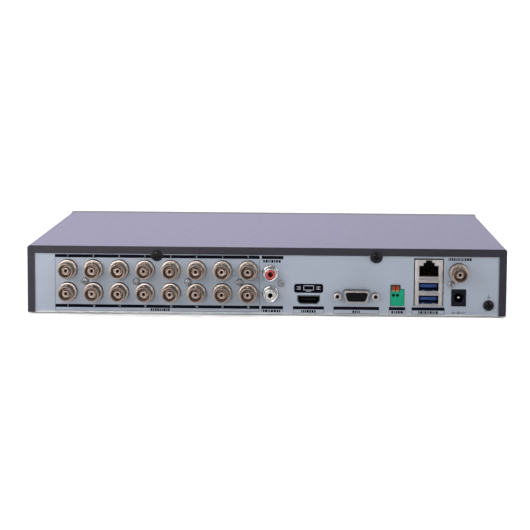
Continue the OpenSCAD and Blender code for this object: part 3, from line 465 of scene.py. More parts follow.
class Shape:
    """Collects parts of one piece in millimetres, each with its material number."""

    def __init__(self):
        self.bm = bmesh.new()

    def take(self, part, mat=0):
        for f in part.faces:
            f.material_index = mat
        mesh = bpy.data.meshes.new("part")
        part.to_mesh(mesh)
        part.free()
        self.bm.from_mesh(mesh)
        bpy.data.meshes.remove(mesh)
        return self

    def box(self, low, high, bevel=0.0, mat=0, segments=2):
        part = bmesh.new()
        bmesh.ops.create_cube(part, size=1.0)
        low, high = Vector(low), Vector(high)
        for v in part.verts:
            v.co = Vector(low[i] + (v.co[i] + 0.5) * (high[i] - low[i]) for i in range(3))
        if bevel:
            limit = 0.45 * min(high[i] - low[i] for i in range(3))
            round_edges(part, part.edges[:], min(bevel, limit), segments)
        return self.take(part, mat)

    def lathe(self, place, profile, axis="y", segments=40, mat=0):
        """Turns a line of (distance along the axis, radius) points about an axis through a place."""
        part = bmesh.new()
        angles = [2 * math.pi * i / segments for i in range(segments)]
        rings = []
        for along, radius in profile:
            if radius < 1e-6:
                rings.append([part.verts.new((0, 0, along))])
            else:
                ring = [(radius * math.cos(t), radius * math.sin(t), along) for t in angles]
                rings.append([part.verts.new(at) for at in ring])
        for a, b in zip(rings, rings[1:]):
            for i in range(segments):
                j = (i + 1) % segments
                if len(a) > 1 and len(b) > 1:
                    part.faces.new((a[i], a[j], b[j], b[i]))
                elif len(b) > 1:
                    part.faces.new((a[0], b[j], b[i]))
                elif len(a) > 1:
                    part.faces.new((a[i], a[j], b[0]))
        bmesh.ops.recalc_face_normals(part, faces=part.faces[:])
        part.transform(Matrix.Translation(Vector(place)) @ AXES[axis].to_4x4())
        return self.take(part, mat)

    def prism(self, outline, start, end, axis="y", place=(0, 0, 0), bevel=0.0, mat=0):
        """A flat outline carried from start to end. On axis y the outline is in X and Z, on z in X and Y."""
        part = bmesh.new()
        lower = [part.verts.new((a, start, b) if axis == "y" else (a, b, start)) for a, b in outline]
        upper = [part.verts.new((a, end, b) if axis == "y" else (a, b, end)) for a, b in outline]
        caps = [part.faces.new(lower), part.faces.new(upper)]
        n = len(outline)
        for i in range(n):
            j = (i + 1) % n
            part.faces.new((lower[i], lower[j], upper[j], upper[i]))
        bmesh.ops.recalc_face_normals(part, faces=part.faces[:])
        if bevel:
            rim = [e for c in caps for e in c.edges]
            round_edges(part, rim, bevel, 2)
        bmesh.ops.translate(part, verts=part.verts[:], vec=place)
        return self.take(part, mat)

    def tube(self, points, radius, segments=10):
        """A round bar along a line of points."""
        part = bmesh.new()
        points = [Vector(p) for p in points]
        rings = []
        side = Vector((0.31, 0.17, 0.93))
        for i, p in enumerate(points):
            ahead = (points[min(i + 1, len(points) - 1)] - points[max(i - 1, 0)]).normalized()
            side = (side - ahead * side.dot(ahead)).normalized()
            up = ahead.cross(side)
            ring = []
            for k in range(segments):
                t = 2 * math.pi * k / segments
                ring.append(part.verts.new(p + (side * math.cos(t) + up * math.sin(t)) * radius))
            rings.append(ring)
        for a, b in zip(rings, rings[1:]):
            for k in range(segments):
                j = (k + 1) % segments
                part.faces.new((a[k], a[j], b[j], b[k]))
        part.faces.new(rings[0])
        part.faces.new(rings[-1])
        bmesh.ops.recalc_face_normals(part, faces=part.faces[:])
        return self.take(part)

    def copies(self, other, moves):
        """Adds another shape once for each matrix, and lets go of it."""
        mesh = bpy.data.meshes.new("copy")
        other.bm.to_mesh(mesh)
        for move in moves:
            again = mesh.copy()
            again.transform(move)
            self.bm.from_mesh(again)
            bpy.data.meshes.remove(again)
        bpy.data.meshes.remove(mesh)
        other.bm.free()
        return self

    def carve(self, cutter):
        """Takes another shape away from this one."""
        pair = []
        for bm in (self.bm, cutter.bm):
            mesh = bpy.data.meshes.new("carve")
            bm.to_mesh(mesh)
            bm.free()
            obj = bpy.data.objects.new("carve", mesh)
            bpy.context.scene.collection.objects.link(obj)
            pair.append(obj)
        mod = pair[0].modifiers.new("cut", "BOOLEAN")
        mod.operation = "DIFFERENCE"
        mod.solver = "EXACT"
        mod.object = pair[1]
        bpy.context.view_layer.update()
        graph = bpy.context.evaluated_depsgraph_get()
        self.bm = bmesh.new()
        self.bm.from_mesh(pair[0].evaluated_get(graph).to_mesh())
        pair[0].evaluated_get(graph).to_mesh_clear()
        for obj in pair:
            mesh = obj.data
            bpy.data.objects.remove(obj)
            bpy.data.meshes.remove(mesh)
        return self

    def pad(self, x, y, half_w, half_d, z0, z1, bevel=0.0, mat=0, segments=2):
        """A box given by its middle and half its width and depth."""
        return self.box((x - half_w, y - half_d, z0), (x + half_w, y + half_d, z1), bevel, mat, segments)

    def piece(self, name, materials, slot, body="chassis", node=None):
        """Turns the collected parts into an object of the scene that rides on a CAD body."""
        mesh = bpy.data.meshes.new(name)
        self.bm.to_mesh(mesh)
        self.bm.free()
        mesh.transform(Matrix.Scale(MM, 4))
        return place_piece(mesh, name, materials, body, node)

    def replace(self, node, word, *more, look=None, name=None):
        """Stands in for a CAD node, in the finish of its slot and then in more materials."""
        slot = slot_of(node)
        return self.piece(name or f"{node}_{word}", [look or M[slot], *more], slot, body_of(node), node)


def place_piece(mesh, name, materials, body, node):
    for m in materials:
        mesh.materials.append(m)
    mesh.polygons.foreach_set("use_smooth", [True] * len(mesh.polygons))
    mesh.set_sharp_from_angle(angle=math.radians(32.0))
    obj = bpy.data.objects.new(name, mesh)
    bpy.context.scene.collection.objects.link(obj)
    if node:
        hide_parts(node)
    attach(obj, body)
    return obj


def body_of(node):
    for body, members in frame["record"]["behaviour"]["bodies"].items():
        if node in members:
            return body
    raise KeyError(node)


def slot_of(node):
    for row in frame["record"]["subparts"]:
        if row["node"] == node:
            return row["material_slot"]
    raise KeyError(node)


def eased(node, width, segments=2, materials=None, paint=None):
    """A copy of a CAD node with its hard edges rounded, which takes the node's place."""
    bm = bmesh.new()
    bm.from_mesh(NODES[node].data)
    bmesh.ops.remove_doubles(bm, verts=bm.verts[:], dist=2e-6)
    bmesh.ops.dissolve_limit(bm, angle_limit=math.radians(0.6), verts=bm.verts[:], edges=bm.edges[:])
    hard = math.radians(35.0)
    edges = [e for e in bm.edges if len(e.link_faces) == 2 and e.calc_face_angle(0.0) > hard and e.is_convex]
    round_edges(bm, edges, width * MM, segments, clamp=True)
    if paint:
        bm.faces.ensure_lookup_table()
        for f in bm.faces:
            f.material_index = paint(f.calc_center_median() / MM, f.normal)
    mesh = bpy.data.meshes.new(node + "_eased")
    bm.to_mesh(mesh)
    bm.free()
    slot = slot_of(node)
    return place_piece(mesh, node + "_piece", materials or [M[slot]], body_of(node), node)


def keep(node):
    """Keeps a CAD node's shape and gives it its finish."""
    mesh = NODES[node].data
    mesh.materials.clear()
    mesh.materials.append(M[slot_of(node)])


# ---------------------------------------------------------------- screws


def screw_shape(head, rise, shank, length):
    """A pan head with a tapered cross recess, standing on z = 0 and pointing down."""
    dome = Shape()
    profile = [(-length, 0.0), (-length, shank * 0.36), (-length + shank * 0.2, shank * 0.5)]
    pitch = 0.5
    turns = int((length - 0.6) / pitch)
    for i in range(turns):
        at = -length + 0.5 + i * pitch
        profile += [(at, shank * 0.5), (at + pitch * 0.5, shank * 0.42)]
    profile += [(-0.05, shank * 0.5), (0.0, shank * 0.5), (0.0, head * 0.5 - 0.08), (0.1, head * 0.5)]
    profile += [(rise * 0.45, head * 0.5)]
    for i in range(1, 7):
        t = i / 6 * math.pi / 2
        profile.append((rise * (0.45 + 0.55 * math.sin(t)), head * 0.5 * (0.16 + 0.84 * math.cos(t))))
    profile.append((rise, 0.0))
    dome.lathe((0, 0, 0), profile, axis="z", segments=32)
    arm, width, depth = head * 0.31, head * 0.07, rise * 0.72
    plus = [(arm, -width), (arm, width), (width, width), (width, arm), (-width, arm), (-width, width)]
    plus += [(-x, -y) for x, y in plus]
    part = bmesh.new()
    lower = [part.verts.new((x * 0.5, y * 0.5, rise - depth)) for x, y in plus]
    upper = [part.verts.new((x * 1.15, y * 1.15, rise + 0.3)) for x, y in plus]
    part.faces.new(lower)
    part.faces.new(upper)
    for i in range(len(plus)):
        j = (i + 1) % len(plus)
        part.faces.new((lower[i], lower[j], upper[j], upper[i]))
    bmesh.ops.recalc_face_normals(part, faces=part.faces[:])
    cross = Shape().take(part)
    return dome.carve(cross)


def screws(node, axis, head, rise, shank, length):
    """One turned screw for each solid of a CAD node. axis points out of the head."""
    rng = random.Random(node + "_turned")
    moves = []
    for low, high in solids_mm(node):
        c = (low + high) / 2
        seat = {
            "y": (c.x, high.y - rise, c.z),
            "z": (c.x, c.y, high.z - rise),
            "-z": (c.x, c.y, low.z + rise),
            "x": (high.x - rise, c.y, c.z),
        }[axis]
        spin = Matrix.Rotation(rng.uniform(0, math.pi / 2), 4, "Z")
        moves.append(Matrix.Translation(seat) @ AXES[axis].to_4x4() @ spin)
    Shape().copies(screw_shape(head, rise, shank, length), moves).replace(node, "turned")


screws("cover_screws", "y", 7.0, 2.0, 2.9, 6.0)
screws("ground_screw", "y", 7.0, 2.3, 3.9, 4.0)
screws("connector_screws", "y", 4.8, 1.5, 2.4, 7.0)
screws("board_screws", "z", 5.4, 1.6, 2.6, 4.4)
screws("fan_screws", "x", 5.4, 1.6, 2.9, 10.9)
screws("hdd_screws", "-z", 5.6, 0.9, 2.9, 6.9)

# ---------------------------------------------------------------- coaxial sockets


def at_each(one, places):
    """One shape repeated at each (x, z) place of the rear panel."""
    return Shape().copies(one, [Matrix.Translation((x, 0, z)) for x, z in places])


BNC = spots("bnc_shells")
BACK_Y = PANEL_Y - 5.0


def bnc_shells():
    barrel, neck, bore, collar, throat = 4.85, 4.75, 4.05, 6.35, 2.3
    tip, shoulder, cup = TIP_Y, PANEL_Y + 3.5, TIP_Y - 5.2
    outer = [
        (BACK_Y, throat), (BACK_Y, collar), (shoulder, collar), (shoulder, 5.45), (PANEL_Y + 4.0, neck),
        (tip - 6.9, neck), (tip - 6.9, barrel), (tip, barrel), (tip, 4.2), (tip - 0.5, bore),
        (tip - 1.0, bore), (tip - 4.8, 3.3), (cup, 2.95), (cup, throat), (BACK_Y, throat),
    ]
    one = Shape().lathe((0, 0, 0), soft(outer, 0.22), segments=48)
    lug = soft([(4.15, 0.0), (4.15, 1.0), (5.5, 1.0), (5.5, 0.0)], 0.25)
    for axis in ("z", "-z"):
        one.lathe((0, tip - 4.8, 0), lug, axis=axis, segments=20)
    # The inside of the barrel takes a lighter, duller bronze as painted light, and its rim a darker, duller
    # bronze as painted shade
    for f in one.bm.faces:
        c = f.calc_center_median()
        if c.y > tip - 0.45:
            f.material_index = 2
        elif math.hypot(c.x, c.z) < 4.15 and c.y > cup - 0.3:
            f.material_index = 1
    # Two small keys where the collar meets the panel
    for s in (-1, 1):
        one.box((s * 6.0 - 0.5, PANEL_Y + 0.02, -1.2), (s * 6.0 + 0.5, PANEL_Y + 0.8, 1.2), 0.15)
    at_each(one, BNC).replace("bnc_shells", "turned", CUP_BRONZE_PAINTED_LIGHT, RIM_BRONZE_PAINTED_SHADE)


def bnc_insides():
    """The insulator of each coaxial socket, and the hollow contact in it."""
    hole, rim, mouth = 1.08, 2.2, TIP_Y - 2.2
    ring = [
        (BACK_Y, hole), (BACK_Y, rim), (mouth - 0.5, rim), (mouth, 1.95), (mouth, 1.25), (mouth - 0.3, hole),
        (BACK_Y, hole),
    ]
    end = TIP_Y - 4.2
    tube = [(BACK_Y, 0.0), (BACK_Y, 1.0), (end, 1.0), (end, 0.85), (end - 6, 0.8), (end - 6, 0.0)]
    one = Shape().lathe((0, 0, 0), soft(ring, 0.18), segments=36)
    at_each(one, BNC).replace("bnc_insulators", "turned")
    one = Shape().lathe((0, 0, 0), soft(tube, 0.08), segments=24)
    # The hollow contacts are dark bronze, painted shade deep in the socket
    at_each(one, BNC).replace("bnc_contacts", "turned", look=BRONZE_PAINTED_SHADE)


bnc_shells()
bnc_insides()


def socket_block(node):
    """Moulded block with rounded edges and ribs on its top and back."""
    low, high = box_mm(node)
    s = Shape()
    s.box(low, high, 0.4)
    cut = Shape()
    recess = [(BACK_Y - 0.1, 0.0), (BACK_Y - 0.1, 6.45), (PANEL_Y, 6.45), (PANEL_Y, 0.0)]
    for x, z in BNC:
        if low.x < x < high.x and low.z < z < high.z:
            cut.lathe((x, 0, z), recess)
    n = max(2, int((high.x - low.x) / 8))
    for i in range(1, n):
        x = low.x + (high.x - low.x) * i / n
        cut.box((x - 0.4, low.y + 3, high.z - 0.5), (x + 0.4, high.y - 4, high.z + 1))
        cut.box((x - 0.4, low.y - 1, low.z + 2), (x + 0.4, low.y + 0.5, high.z - 2))
    s.carve(cut)
    s.replace(node, "moulded")


for number in range(1, 5):
    socket_block(f"bnc_block_{number}")
socket_block("video_out_housing")

# ---------------------------------------------------------------- audio sockets

RCA = spots("audio_shells")


def audio_sockets():
    back, tip = (corner.y for corner in box_mm("audio_shells"))
    bore, collar, barrel = 3.2, 5.2, 4.15
    line = [
        (back, bore), (back, collar), (PANEL_Y + 0.9, collar), (PANEL_Y + 1.2, 4.9), (PANEL_Y + 1.2, 4.45),
        (PANEL_Y + 1.9, barrel), (tip - 2.2, barrel), (tip - 2.0, 4.02), (tip - 1.7, barrel), (tip, 4.1),
        (tip, 3.5), (tip - 0.7, bore), (back, bore),
    ]
    one = Shape().lathe((0, 0, 0), soft(line, 0.18), segments=44)
    at_each(one, RCA).replace("audio_shells", "turned")
    hole = 1.97
    for node in ("audio_in_insert", "audio_out_insert"):
        low, high = box_mm(node)
        c = middle((low, high))
        ring = [
            (low.y, 0.0), (low.y, 3.15), (high.y, 3.15), (high.y, 1.95), (high.y - 0.45, 1.62),
            (high.y - 0.6, hole), (REAR_Y, hole), (REAR_Y, 0.0),
        ]
        Shape().lathe((c.x, 0, c.z), soft(ring, 0.16), segments=40).replace(node, "turned")
    low, high = box_mm("audio_contacts")
    sleeve = [(low.y, 0.0), (low.y, 1.92), (high.y, 1.92), (high.y, 1.6), (low.y + 0.6, 1.6)]
    bore = [(high.y - 0.5, 1.59), (low.y + 0.7, 1.5), (low.y + 0.7, 0.0)]
    contacts = Shape()
    # The first socket has a nickel sleeve round a hole painted black as shade, the second is painted a darker
    # red all through as the shade inside the red insert
    for (x, z), sleeve_mat, bore_mat in zip(RCA, (0, 2), (1, 2)):
        contacts.lathe((x, 0, z), soft(sleeve, 0.06), segments=28, mat=sleeve_mat)
        contacts.lathe((x, 0, z), bore, segments=28, mat=bore_mat)
    contacts.replace("audio_contacts", "turned", M["display_black"], RED_PAINTED_SHADE)


audio_sockets()
eased("audio_housing", 0.35)

# ---------------------------------------------------------------- display sockets


def fan_out(count, pitch):
    return [(i - (count - 1) / 2) * pitch for i in range(count)]


def flat_display_socket():
    eased("hdmi_shell", 0.1)
    eased("hdmi_tongue", 0.12)
    x0, y1 = centre("hdmi_tongue").x, box_mm("hdmi_tongue")[1].y
    contacts = Shape()
    # Ten contacts under the tongue and nine over it
    for count, z, under, over in ((10, BASE_Z + 9.4, 0.04, 0.05), (9, BASE_Z + 10.6, 0.05, 0.04)):
        for x in fan_out(count, 1.0):
            low = (x0 + x - 0.2, y1 - 5.6, z - under)
            contacts.box(low, (x0 + x + 0.2, y1 - 0.25, z + over), 0.03)
    # The contacts are dark bronze, painted shade in place of bright gold
    contacts.piece("hdmi_contacts", [BRONZE_PAINTED_SHADE], "contact_gold")


def wide_display_socket():
    # Front faces of the shell take the lighter tin as painted light, all other faces the darker tin as
    # painted shade
    def rim(c, n):
        return 0 if n.y > 0.5 and c.y > REAR_Y + 4 else 1

    eased("vga_shell", 0.3, 3, materials=[TIN_PAINTED_LIGHT, TIN_PAINTED_SHADE], paint=rim)
    eased("vga_insert", 0.08, 1)
    c = Vector((centre("vga_shell").x, 0, BASE_Z + 12.7))
    tip = box_mm("vga_insert")[1].y - 2.6
    tube = [(tip - 1.5, 0.0), (tip - 1.5, 0.5), (tip, 0.5), (tip, 0.36), (tip - 1.0, 0.3), (tip - 1.0, 0.0)]
    contacts = Shape()
    for row, shift in ((-1, -0.25), (0, 0.25), (1, -0.25)):
        for i in range(-2, 3):
            contacts.lathe((c.x + (i + shift) * 2.29, 0, c.z + row * 1.98), tube, segments=14)
    # The contacts are dark bronze, painted shade in place of bright gold
    contacts.piece("vga_contacts", [BRONZE_PAINTED_SHADE], "contact_gold")


def hex_posts():
    """Threaded six-sided posts at the sides of the wide display socket."""
    flat_r, hole_r, thread_r, pitch = 2.72, 1.05, 1.2, 0.56
    corners = [math.radians(60 * k + 30) for k in range(6)]
    hexagon = [(flat_r * math.cos(a), flat_r * math.sin(a)) for a in corners]
    posts = Shape()
    for low, high in solids_mm("vga_hex_posts"):
        m = middle((low, high))
        head = Shape().prism(hexagon, PANEL_Y, high.y, bevel=0.3)
        bore = [(PANEL_Y + 0.5, 0.0), (PANEL_Y + 0.5, hole_r)]
        at = PANEL_Y + 0.6
        while at < high.y - 0.6:
            bore += [(at, hole_r), (at + pitch / 2, thread_r)]
            at += pitch
        bore += [(high.y - 0.3, 1.15), (high.y + 0.1, 1.5), (high.y + 0.1, 0.0)]
        head.carve(Shape().lathe((0, 0, 0), bore, segments=28))
        # A dark bronze liner in the threaded bore, painted shade that makes the hole read dark
        liner = [(PANEL_Y + 0.55, 0.0), (PANEL_Y + 0.55, 1.03), (high.y - 1.0, 1.03)]
        head.lathe((0, 0, 0), liner, segments=28, mat=1)
        end = PANEL_Y + 0.1
        stem = [(low.y, 0.0), (low.y, thread_r), (low.y + 0.3, 1.4), (end, 1.4), (end, 0.0)]
        head.lathe((0, 0, 0), stem, segments=24)
        posts.copies(head, [Matrix.Translation((m.x, 0, m.z))])
    posts.replace("vga_hex_posts", "turned", BRONZE_PAINTED_SHADE)


flat_display_socket()
wide_display_socket()
hex_posts()

# ---------------------------------------------------------------- terminal block and network sockets


def terminal_block():
    """Painted by place: painted shade in the lever slot, on the sides and on the lever tops; olive at the
    lever feet.
    """
    levers = ("terminal_lever_1", "terminal_lever_2")
    low, high = box_mm("terminal_housing")
    slot_low = box_mm(levers[0])[0].z - 0.5

    def housing_look(c, n):
        if n.y > 0.97 and c.y > high.y - 0.3:
            return 0
        return 2 if c.z > slot_low and low.x + 0.3 < c.x < high.x - 0.3 else 1

    def lever_look(c, _):
        rise = c.z - slot_low - 0.5
        return 1 if rise > 3.3 else 2 if rise < 0.75 else 0

    greens = [M["terminal_green"], GREEN_PAINTED_SHADE, MAROON_PAINTED_SHADE]
    eased("terminal_housing", 0.45, 3, greens, housing_look)
    back, front, outer, inner = PANEL_Y - 6.5, PANEL_Y - 1.2, 0.92, 0.82
    floor = back + 0.3
    line = [(back, 0.0), (back, outer), (front, outer), (front, inner), (floor, inner), (floor, 0.0)]
    # Wire entries lined in darker green, painted shade that makes the holes read dark
    clamps = Shape()
    for node in levers:
        eased(node, 0.16, 3, [M["terminal_orange"], MAROON_PAINTED_SHADE, OLIVE], lever_look)
        clamps.lathe((centre(node).x, 0, BASE_Z + 13.4), line, segments=20)
    clamps.piece("terminal_clamps", [GREEN_PAINTED_SHADE], "terminal_green")


def network_and_usb():
    eased("network_usb_shield", 0.14)
    eased("network_usb_insert", 0.1)
    low, high = box_mm("network_usb_shield")
    cx, base, face = middle((low, high)).x, low.z, high.y
    contacts = Shape()
    # Eight sprung contacts that slope up into the network opening
    for x in fan_out(8, 1.02):
        start, end = Vector((cx + x, face - 3.0, base + 19.6)), Vector((cx + x, face - 12.5, base + 23.2))
        contacts.tube([start, start + Vector((0, -0.6, 0.1)), end], 0.22, 8)
    contacts.piece("network_contacts", [M["contact_gold"]], "contact_gold")
    trim = Shape()

    def strip(half, out, z0, z1, bevel, mat):
        trim.box((cx - half, face - 0.05, base + z0), (cx + half, face + out, base + z1), bevel, mat=mat)

    # Sprung fingers of the USB openings
    for z in (base + 9.9, base + 1.45):
        for x in (cx - 3.4, cx + 3.4):
            trim.box((x - 0.9, face - 9, z + 0.05), (x + 0.9, face - 1.0, z + 0.3), 0.08)
    # Below each opening a thin strip in the darker tin as painted shade, and below that a rolled lip in the
    # lit tin copy as painted light
    for top, seam, foot in ((19.3, 17.2, 15.35), (9.65, 8.3, 6.9)):
        strip(6.5, 0.06, seam, top, 0.05, 1)
        strip(7.1, 0.3, foot, seam, 0.14, 2)
    # A thin strip in the darker tin as painted shade at the foot of the shield
    strip(6.5, 0.06, 0.3, 1.2, 0.05, 1)
    for x in (cx - 9.05, cx + 9.05):
        for z in (base + 4.0, base + 14.0, base + 25.0):
            trim.box((x - 0.12, face - 14, z - 1.2), (x + 0.12, face - 3.5, z + 1.2), 0.1)
    trim.piece("shield_trim", [M["shield_tin"], TIN_PAINTED_SHADE, TIN_PAINTED_LIGHT], "shield_tin")
    tongues = Shape()
    for low, high in solids_mm("usb_tongues"):
        tongues.box(low, high, 0.25)
        c = middle((low, high))
        left, right, floor = c.x - 6.3, c.x + 6.3, c.z - 3.1
        # A blue back wall and floor sheet in each opening, painted reflection of the blue tongue in the
        # opening's walls
        tongues.box((left, low.y - 0.1, floor), (right, low.y + 1.2, c.z + 1.9), 0.2)
        tongues.box((left, low.y, floor), (right, high.y - 0.4, floor + 0.3), 0.1)
        for x in fan_out(4, 2.3):
            start = (c.x + x - 0.5, low.y + 3, low.z - 0.06)
            tongues.box(start, (c.x + x + 0.5, high.y - 0.8, low.z + 0.05), 0.04, mat=1)
    tongues.replace("usb_tongues", "moulded", M["contact_gold"])


terminal_block()
network_and_usb()

# ---------------------------------------------------------------- power inlet


def power_inlet():
    eased("power_jack_housing", 0.3, materials=[JACK_BLACK])
    low, high = box_mm("power_jack_pin")
    c, neck = middle((low, high)), high.y - 1.0
    pin = [(low.y, 0.0), (low.y, 1.02), (neck, 1.02)]
    pin += [(neck + math.sin(t) * 0.98, 1.0 * math.cos(t) + 0.02) for t in (0.3, 0.6, 0.9, 1.2, 1.5)]
    pin.append((high.y, 0.0))
    s = Shape().lathe((c.x, 0, c.z), pin, segments=28)
    s.replace("power_jack_pin", "turned", name="power_pin_turned")
    face = box_mm("power_jack_housing")[1].y
    spring = Shape()
    for k in range(3):
        a = math.radians(90 + 120 * k)
        outer = Vector((math.cos(a), 0, math.sin(a)))
        start = Vector((c.x, 0, c.z)) + outer * 2.9
        points = [(face - 3.6, 0.1), (face - 4.4, 0.0), (face - 6.0, -0.45), (face - 8.4, 0.0)]
        spring.tube([start + outer * inward + Vector((0, y, 0)) for y, inward in points], 0.2, 8)
    spring.piece("power_spring", [M["bright_nickel"]], "bright_nickel")


power_inlet()

# ---------------------------------------------------------------- printing on the rear panel

INK_Y0, INK_Y1 = PANEL_Y - 0.02, PANEL_Y + 0.04


class Print(Shape):
    """Flat ink shapes on the rear panel. x and z in millimetres, z above the tray's underside."""

    def patch(self, x0, x1, z0, z1, mat=0, lift=0.0):
        low = (min(x0, x1), INK_Y0 + lift, BASE_Z + min(z0, z1))
        high = (max(x0, x1), INK_Y1 + lift, BASE_Z + max(z0, z1))
        self.box(low, high, mat=mat)

    def frame_lines(self, x0, x1, z0, z1, width=0.22, sides="LRB"):
        if "L" in sides:
            self.patch(x0, x0 - width, z0, z1)
        if "R" in sides:
            self.patch(x1, x1 + width, z0, z1)
        if "B" in sides:
            self.patch(x0, x1, z0, z0 + width)

    def dashes(self, x_middle, width, z0, z1, seed):
        """A row of plain short bars in place of a caption."""
        rng = random.Random(seed)
        gap = 0.42
        sizes = []
        while sum(sizes) + gap * len(sizes) < width - 1.0:
            sizes.append(rng.choice((0.75, 1.0, 1.25, 0.5)))
        scale = width / (sum(sizes) + gap * (len(sizes) - 1))
        x = x_middle + width / 2
        for size in sizes:
            self.patch(x, x - size * scale, z0, z1)
            x -= (size + gap) * scale

    def disc(self, x, z, radius, inner=0.0):
        line = [(INK_Y0, inner), (INK_Y0, radius), (INK_Y1, radius), (INK_Y1, inner)]
        if inner:
            line.append(line[0])
        self.lathe((x, 0, BASE_Z + z), line, segments=28)

    def number(self, value, x, z, height, mat, lift):
        """Digits from the seven strokes of a segment display."""
        strokes = {
            "0": "abcdef", "1": "bc", "2": "abged", "3": "abgcd", "4": "fgbc",
            "5": "afgcd", "6": "afgedc", "7": "abc", "8": "abcdefg", "9": "gfabcd",
        }
        w, t = height * 0.5, height * 0.16
        digits = str(value)
        total = len(digits) * w + (len(digits) - 1) * height * 0.3
        left = x + total / 2
        for d in digits:
            for s in strokes[d]:
                if s in "agd":
                    zz = {"a": height, "g": height / 2 + t / 2, "d": t}[s]
                    self.patch(left, left - w, z + zz - t, z + zz, mat, lift)
                else:
                    xx = left - w + t if s in "bc" else left
                    z0 = z + (height / 2 if s in "bf" else 0)
                    self.patch(xx, xx - t, z0, z0 + height / 2, mat, lift)
            left -= w + height * 0.3


def panel_printing():
    ink = Print()
    bar_low, bar_high, line = 3.4, 5.45, 0.2
    columns = sorted({round(x, 2) for x, z in BNC if x > -60}, reverse=True)
    first, last = columns[0] + 8.4, columns[-1] - 7.5
    # Bars over and under the video inputs, with the channel numbers in them
    for z0, z1, start in ((36.55, 38.7, 1), (bar_low, bar_high, 9)):
        ink.patch(first, last, z0, z1)
        for i, x in enumerate(columns):
            ink.number(start + i, x, z0 + 0.45, 1.25, 1, 0.04)
    ink.frame_lines(first, last, 1.3, 38.7, line)
    ink.dashes((first + last) / 2 - 2, 12.5, 1.5, 3.1, "video")
    x = RCA[0][0]
    left, right = x + 6.0, x - 8.3
    for z0, z1 in ((36.6, 38.7), (bar_low, bar_high)):
        ink.patch(left, right, z0, z1)
    ink.dashes(x - 0.8, 11.5, 34.3, 36.0, "audio a")
    ink.dashes(x - 0.8, 11.5, 1.3, 3.0, "audio b")
    ink.frame_lines(left, right, 1.0, bar_low, line, "LR")
    display = centre("hdmi_shell").x
    power = centre("power_jack_housing").x
    for x, half, label, seed in (
        (display, 10.2, 9.6, "display"),
        (centre("vga_shell").x, 15.0, 5.0, "monitor"),
        (centre("terminal_housing").x, 5.4, 7.6, "serial"),
        (centre("network_usb_shield").x + 0.05, 10.8, 12.8, "network"),
    ):
        ink.patch(x + half, x - half, bar_low, 5.5)
        ink.frame_lines(x + half, x - half, 0.8, bar_low, line)
        ink.dashes(x, label, 1.3, 3.0, seed)
    # Round-cornered badge over the flat display socket, with a screen drawn in outline and bars at its sides
    half_w, half_h, r, mid = 9.55, 3.0, 1.6, 17.4
    outline = []
    for sx, sz, start in ((1, 1, 0), (-1, 1, 90), (-1, -1, 180), (1, -1, 270)):
        cx, cz = display + sx * (half_w - r), BASE_Z + mid + sz * (half_h - r)
        for k in range(7):
            a = math.radians(start + 15 * k)
            outline.append((cx + r * math.cos(a), cz + r * math.sin(a)))
    ink.prism(outline, INK_Y0, INK_Y1 + 0.08, bevel=0.03)
    strokes = [
        (3.4, -3.4, 1.6, 1.95), (3.4, -3.4, -1.25, -0.9), (3.4, 3.05, -1.25, 1.95),
        (-3.05, -3.4, -1.25, 1.95), (1.6, -1.6, -1.95, -1.6),
    ]
    for side in (-1, 1):
        for reach, z in ((7.8, 0.9), (7.0, 0.1), (7.8, -0.7)):
            strokes.append((side * 5.2, side * reach, z, z + 0.35))
    for x0, x1, z0, z1 in strokes:
        ink.patch(display + x0, display + x1, mid + z0, mid + z1, 1, 0.1)
    ink.dashes(min(x for x, z in BNC) - 0.6, 15.0, 36.6, 38.3, "output")
    # Polarity drawing under the power inlet, and the sign over the earth screw
    axis = 2.05
    z0, z1 = axis - 0.1, axis + 0.12
    ink.disc(power + 3.4, axis, 0.75, inner=0.5)
    ink.patch(power + 2.6, power + 0.9, z0, z1)
    ink.disc(power, axis, 0.9, inner=0.66)
    ink.disc(power, axis, 0.34)
    ink.patch(power - 0.9, power - 2.6, z0, z1)
    ink.disc(power - 3.4, axis, 0.75, inner=0.5)
    ground, foot = centre("ground_screw").x, 12.9
    ink.patch(ground + 0.12, ground - 0.12, foot, 14.4)
    for k, half in enumerate((1.2, 0.8, 0.4)):
        ink.patch(ground + half, ground - half, foot - k * 0.55, foot - 0.2 - k * 0.55)
    ink.piece("panel_printing", [INK_DARK, INK_LIGHT], "display_black")


panel_printing()

# ---------------------------------------------------------------- case

keep("top_cover")
keep("rear_panel")
keep("base_tray")
eased("front_bezel", 0.45, 3)


def feet():
    foot = Shape()
    for low, high in solids_mm("rubber_feet"):
        c, top, hollow = middle((low, high)), high.z, low.z + 0.35
        line = [
            (top, 0.0), (top, 7.0), (low.z + 0.5, 6.8), (low.z, 6.1), (low.z, 4.6), (hollow, 4.2),
            (hollow, 0.0),
        ]
        foot.lathe((c.x, c.y, 0), soft(line, 0.25), axis="z", segments=40)
    foot.replace("rubber_feet", "moulded")


feet()

# ---------------------------------------------------------------- inside of the case


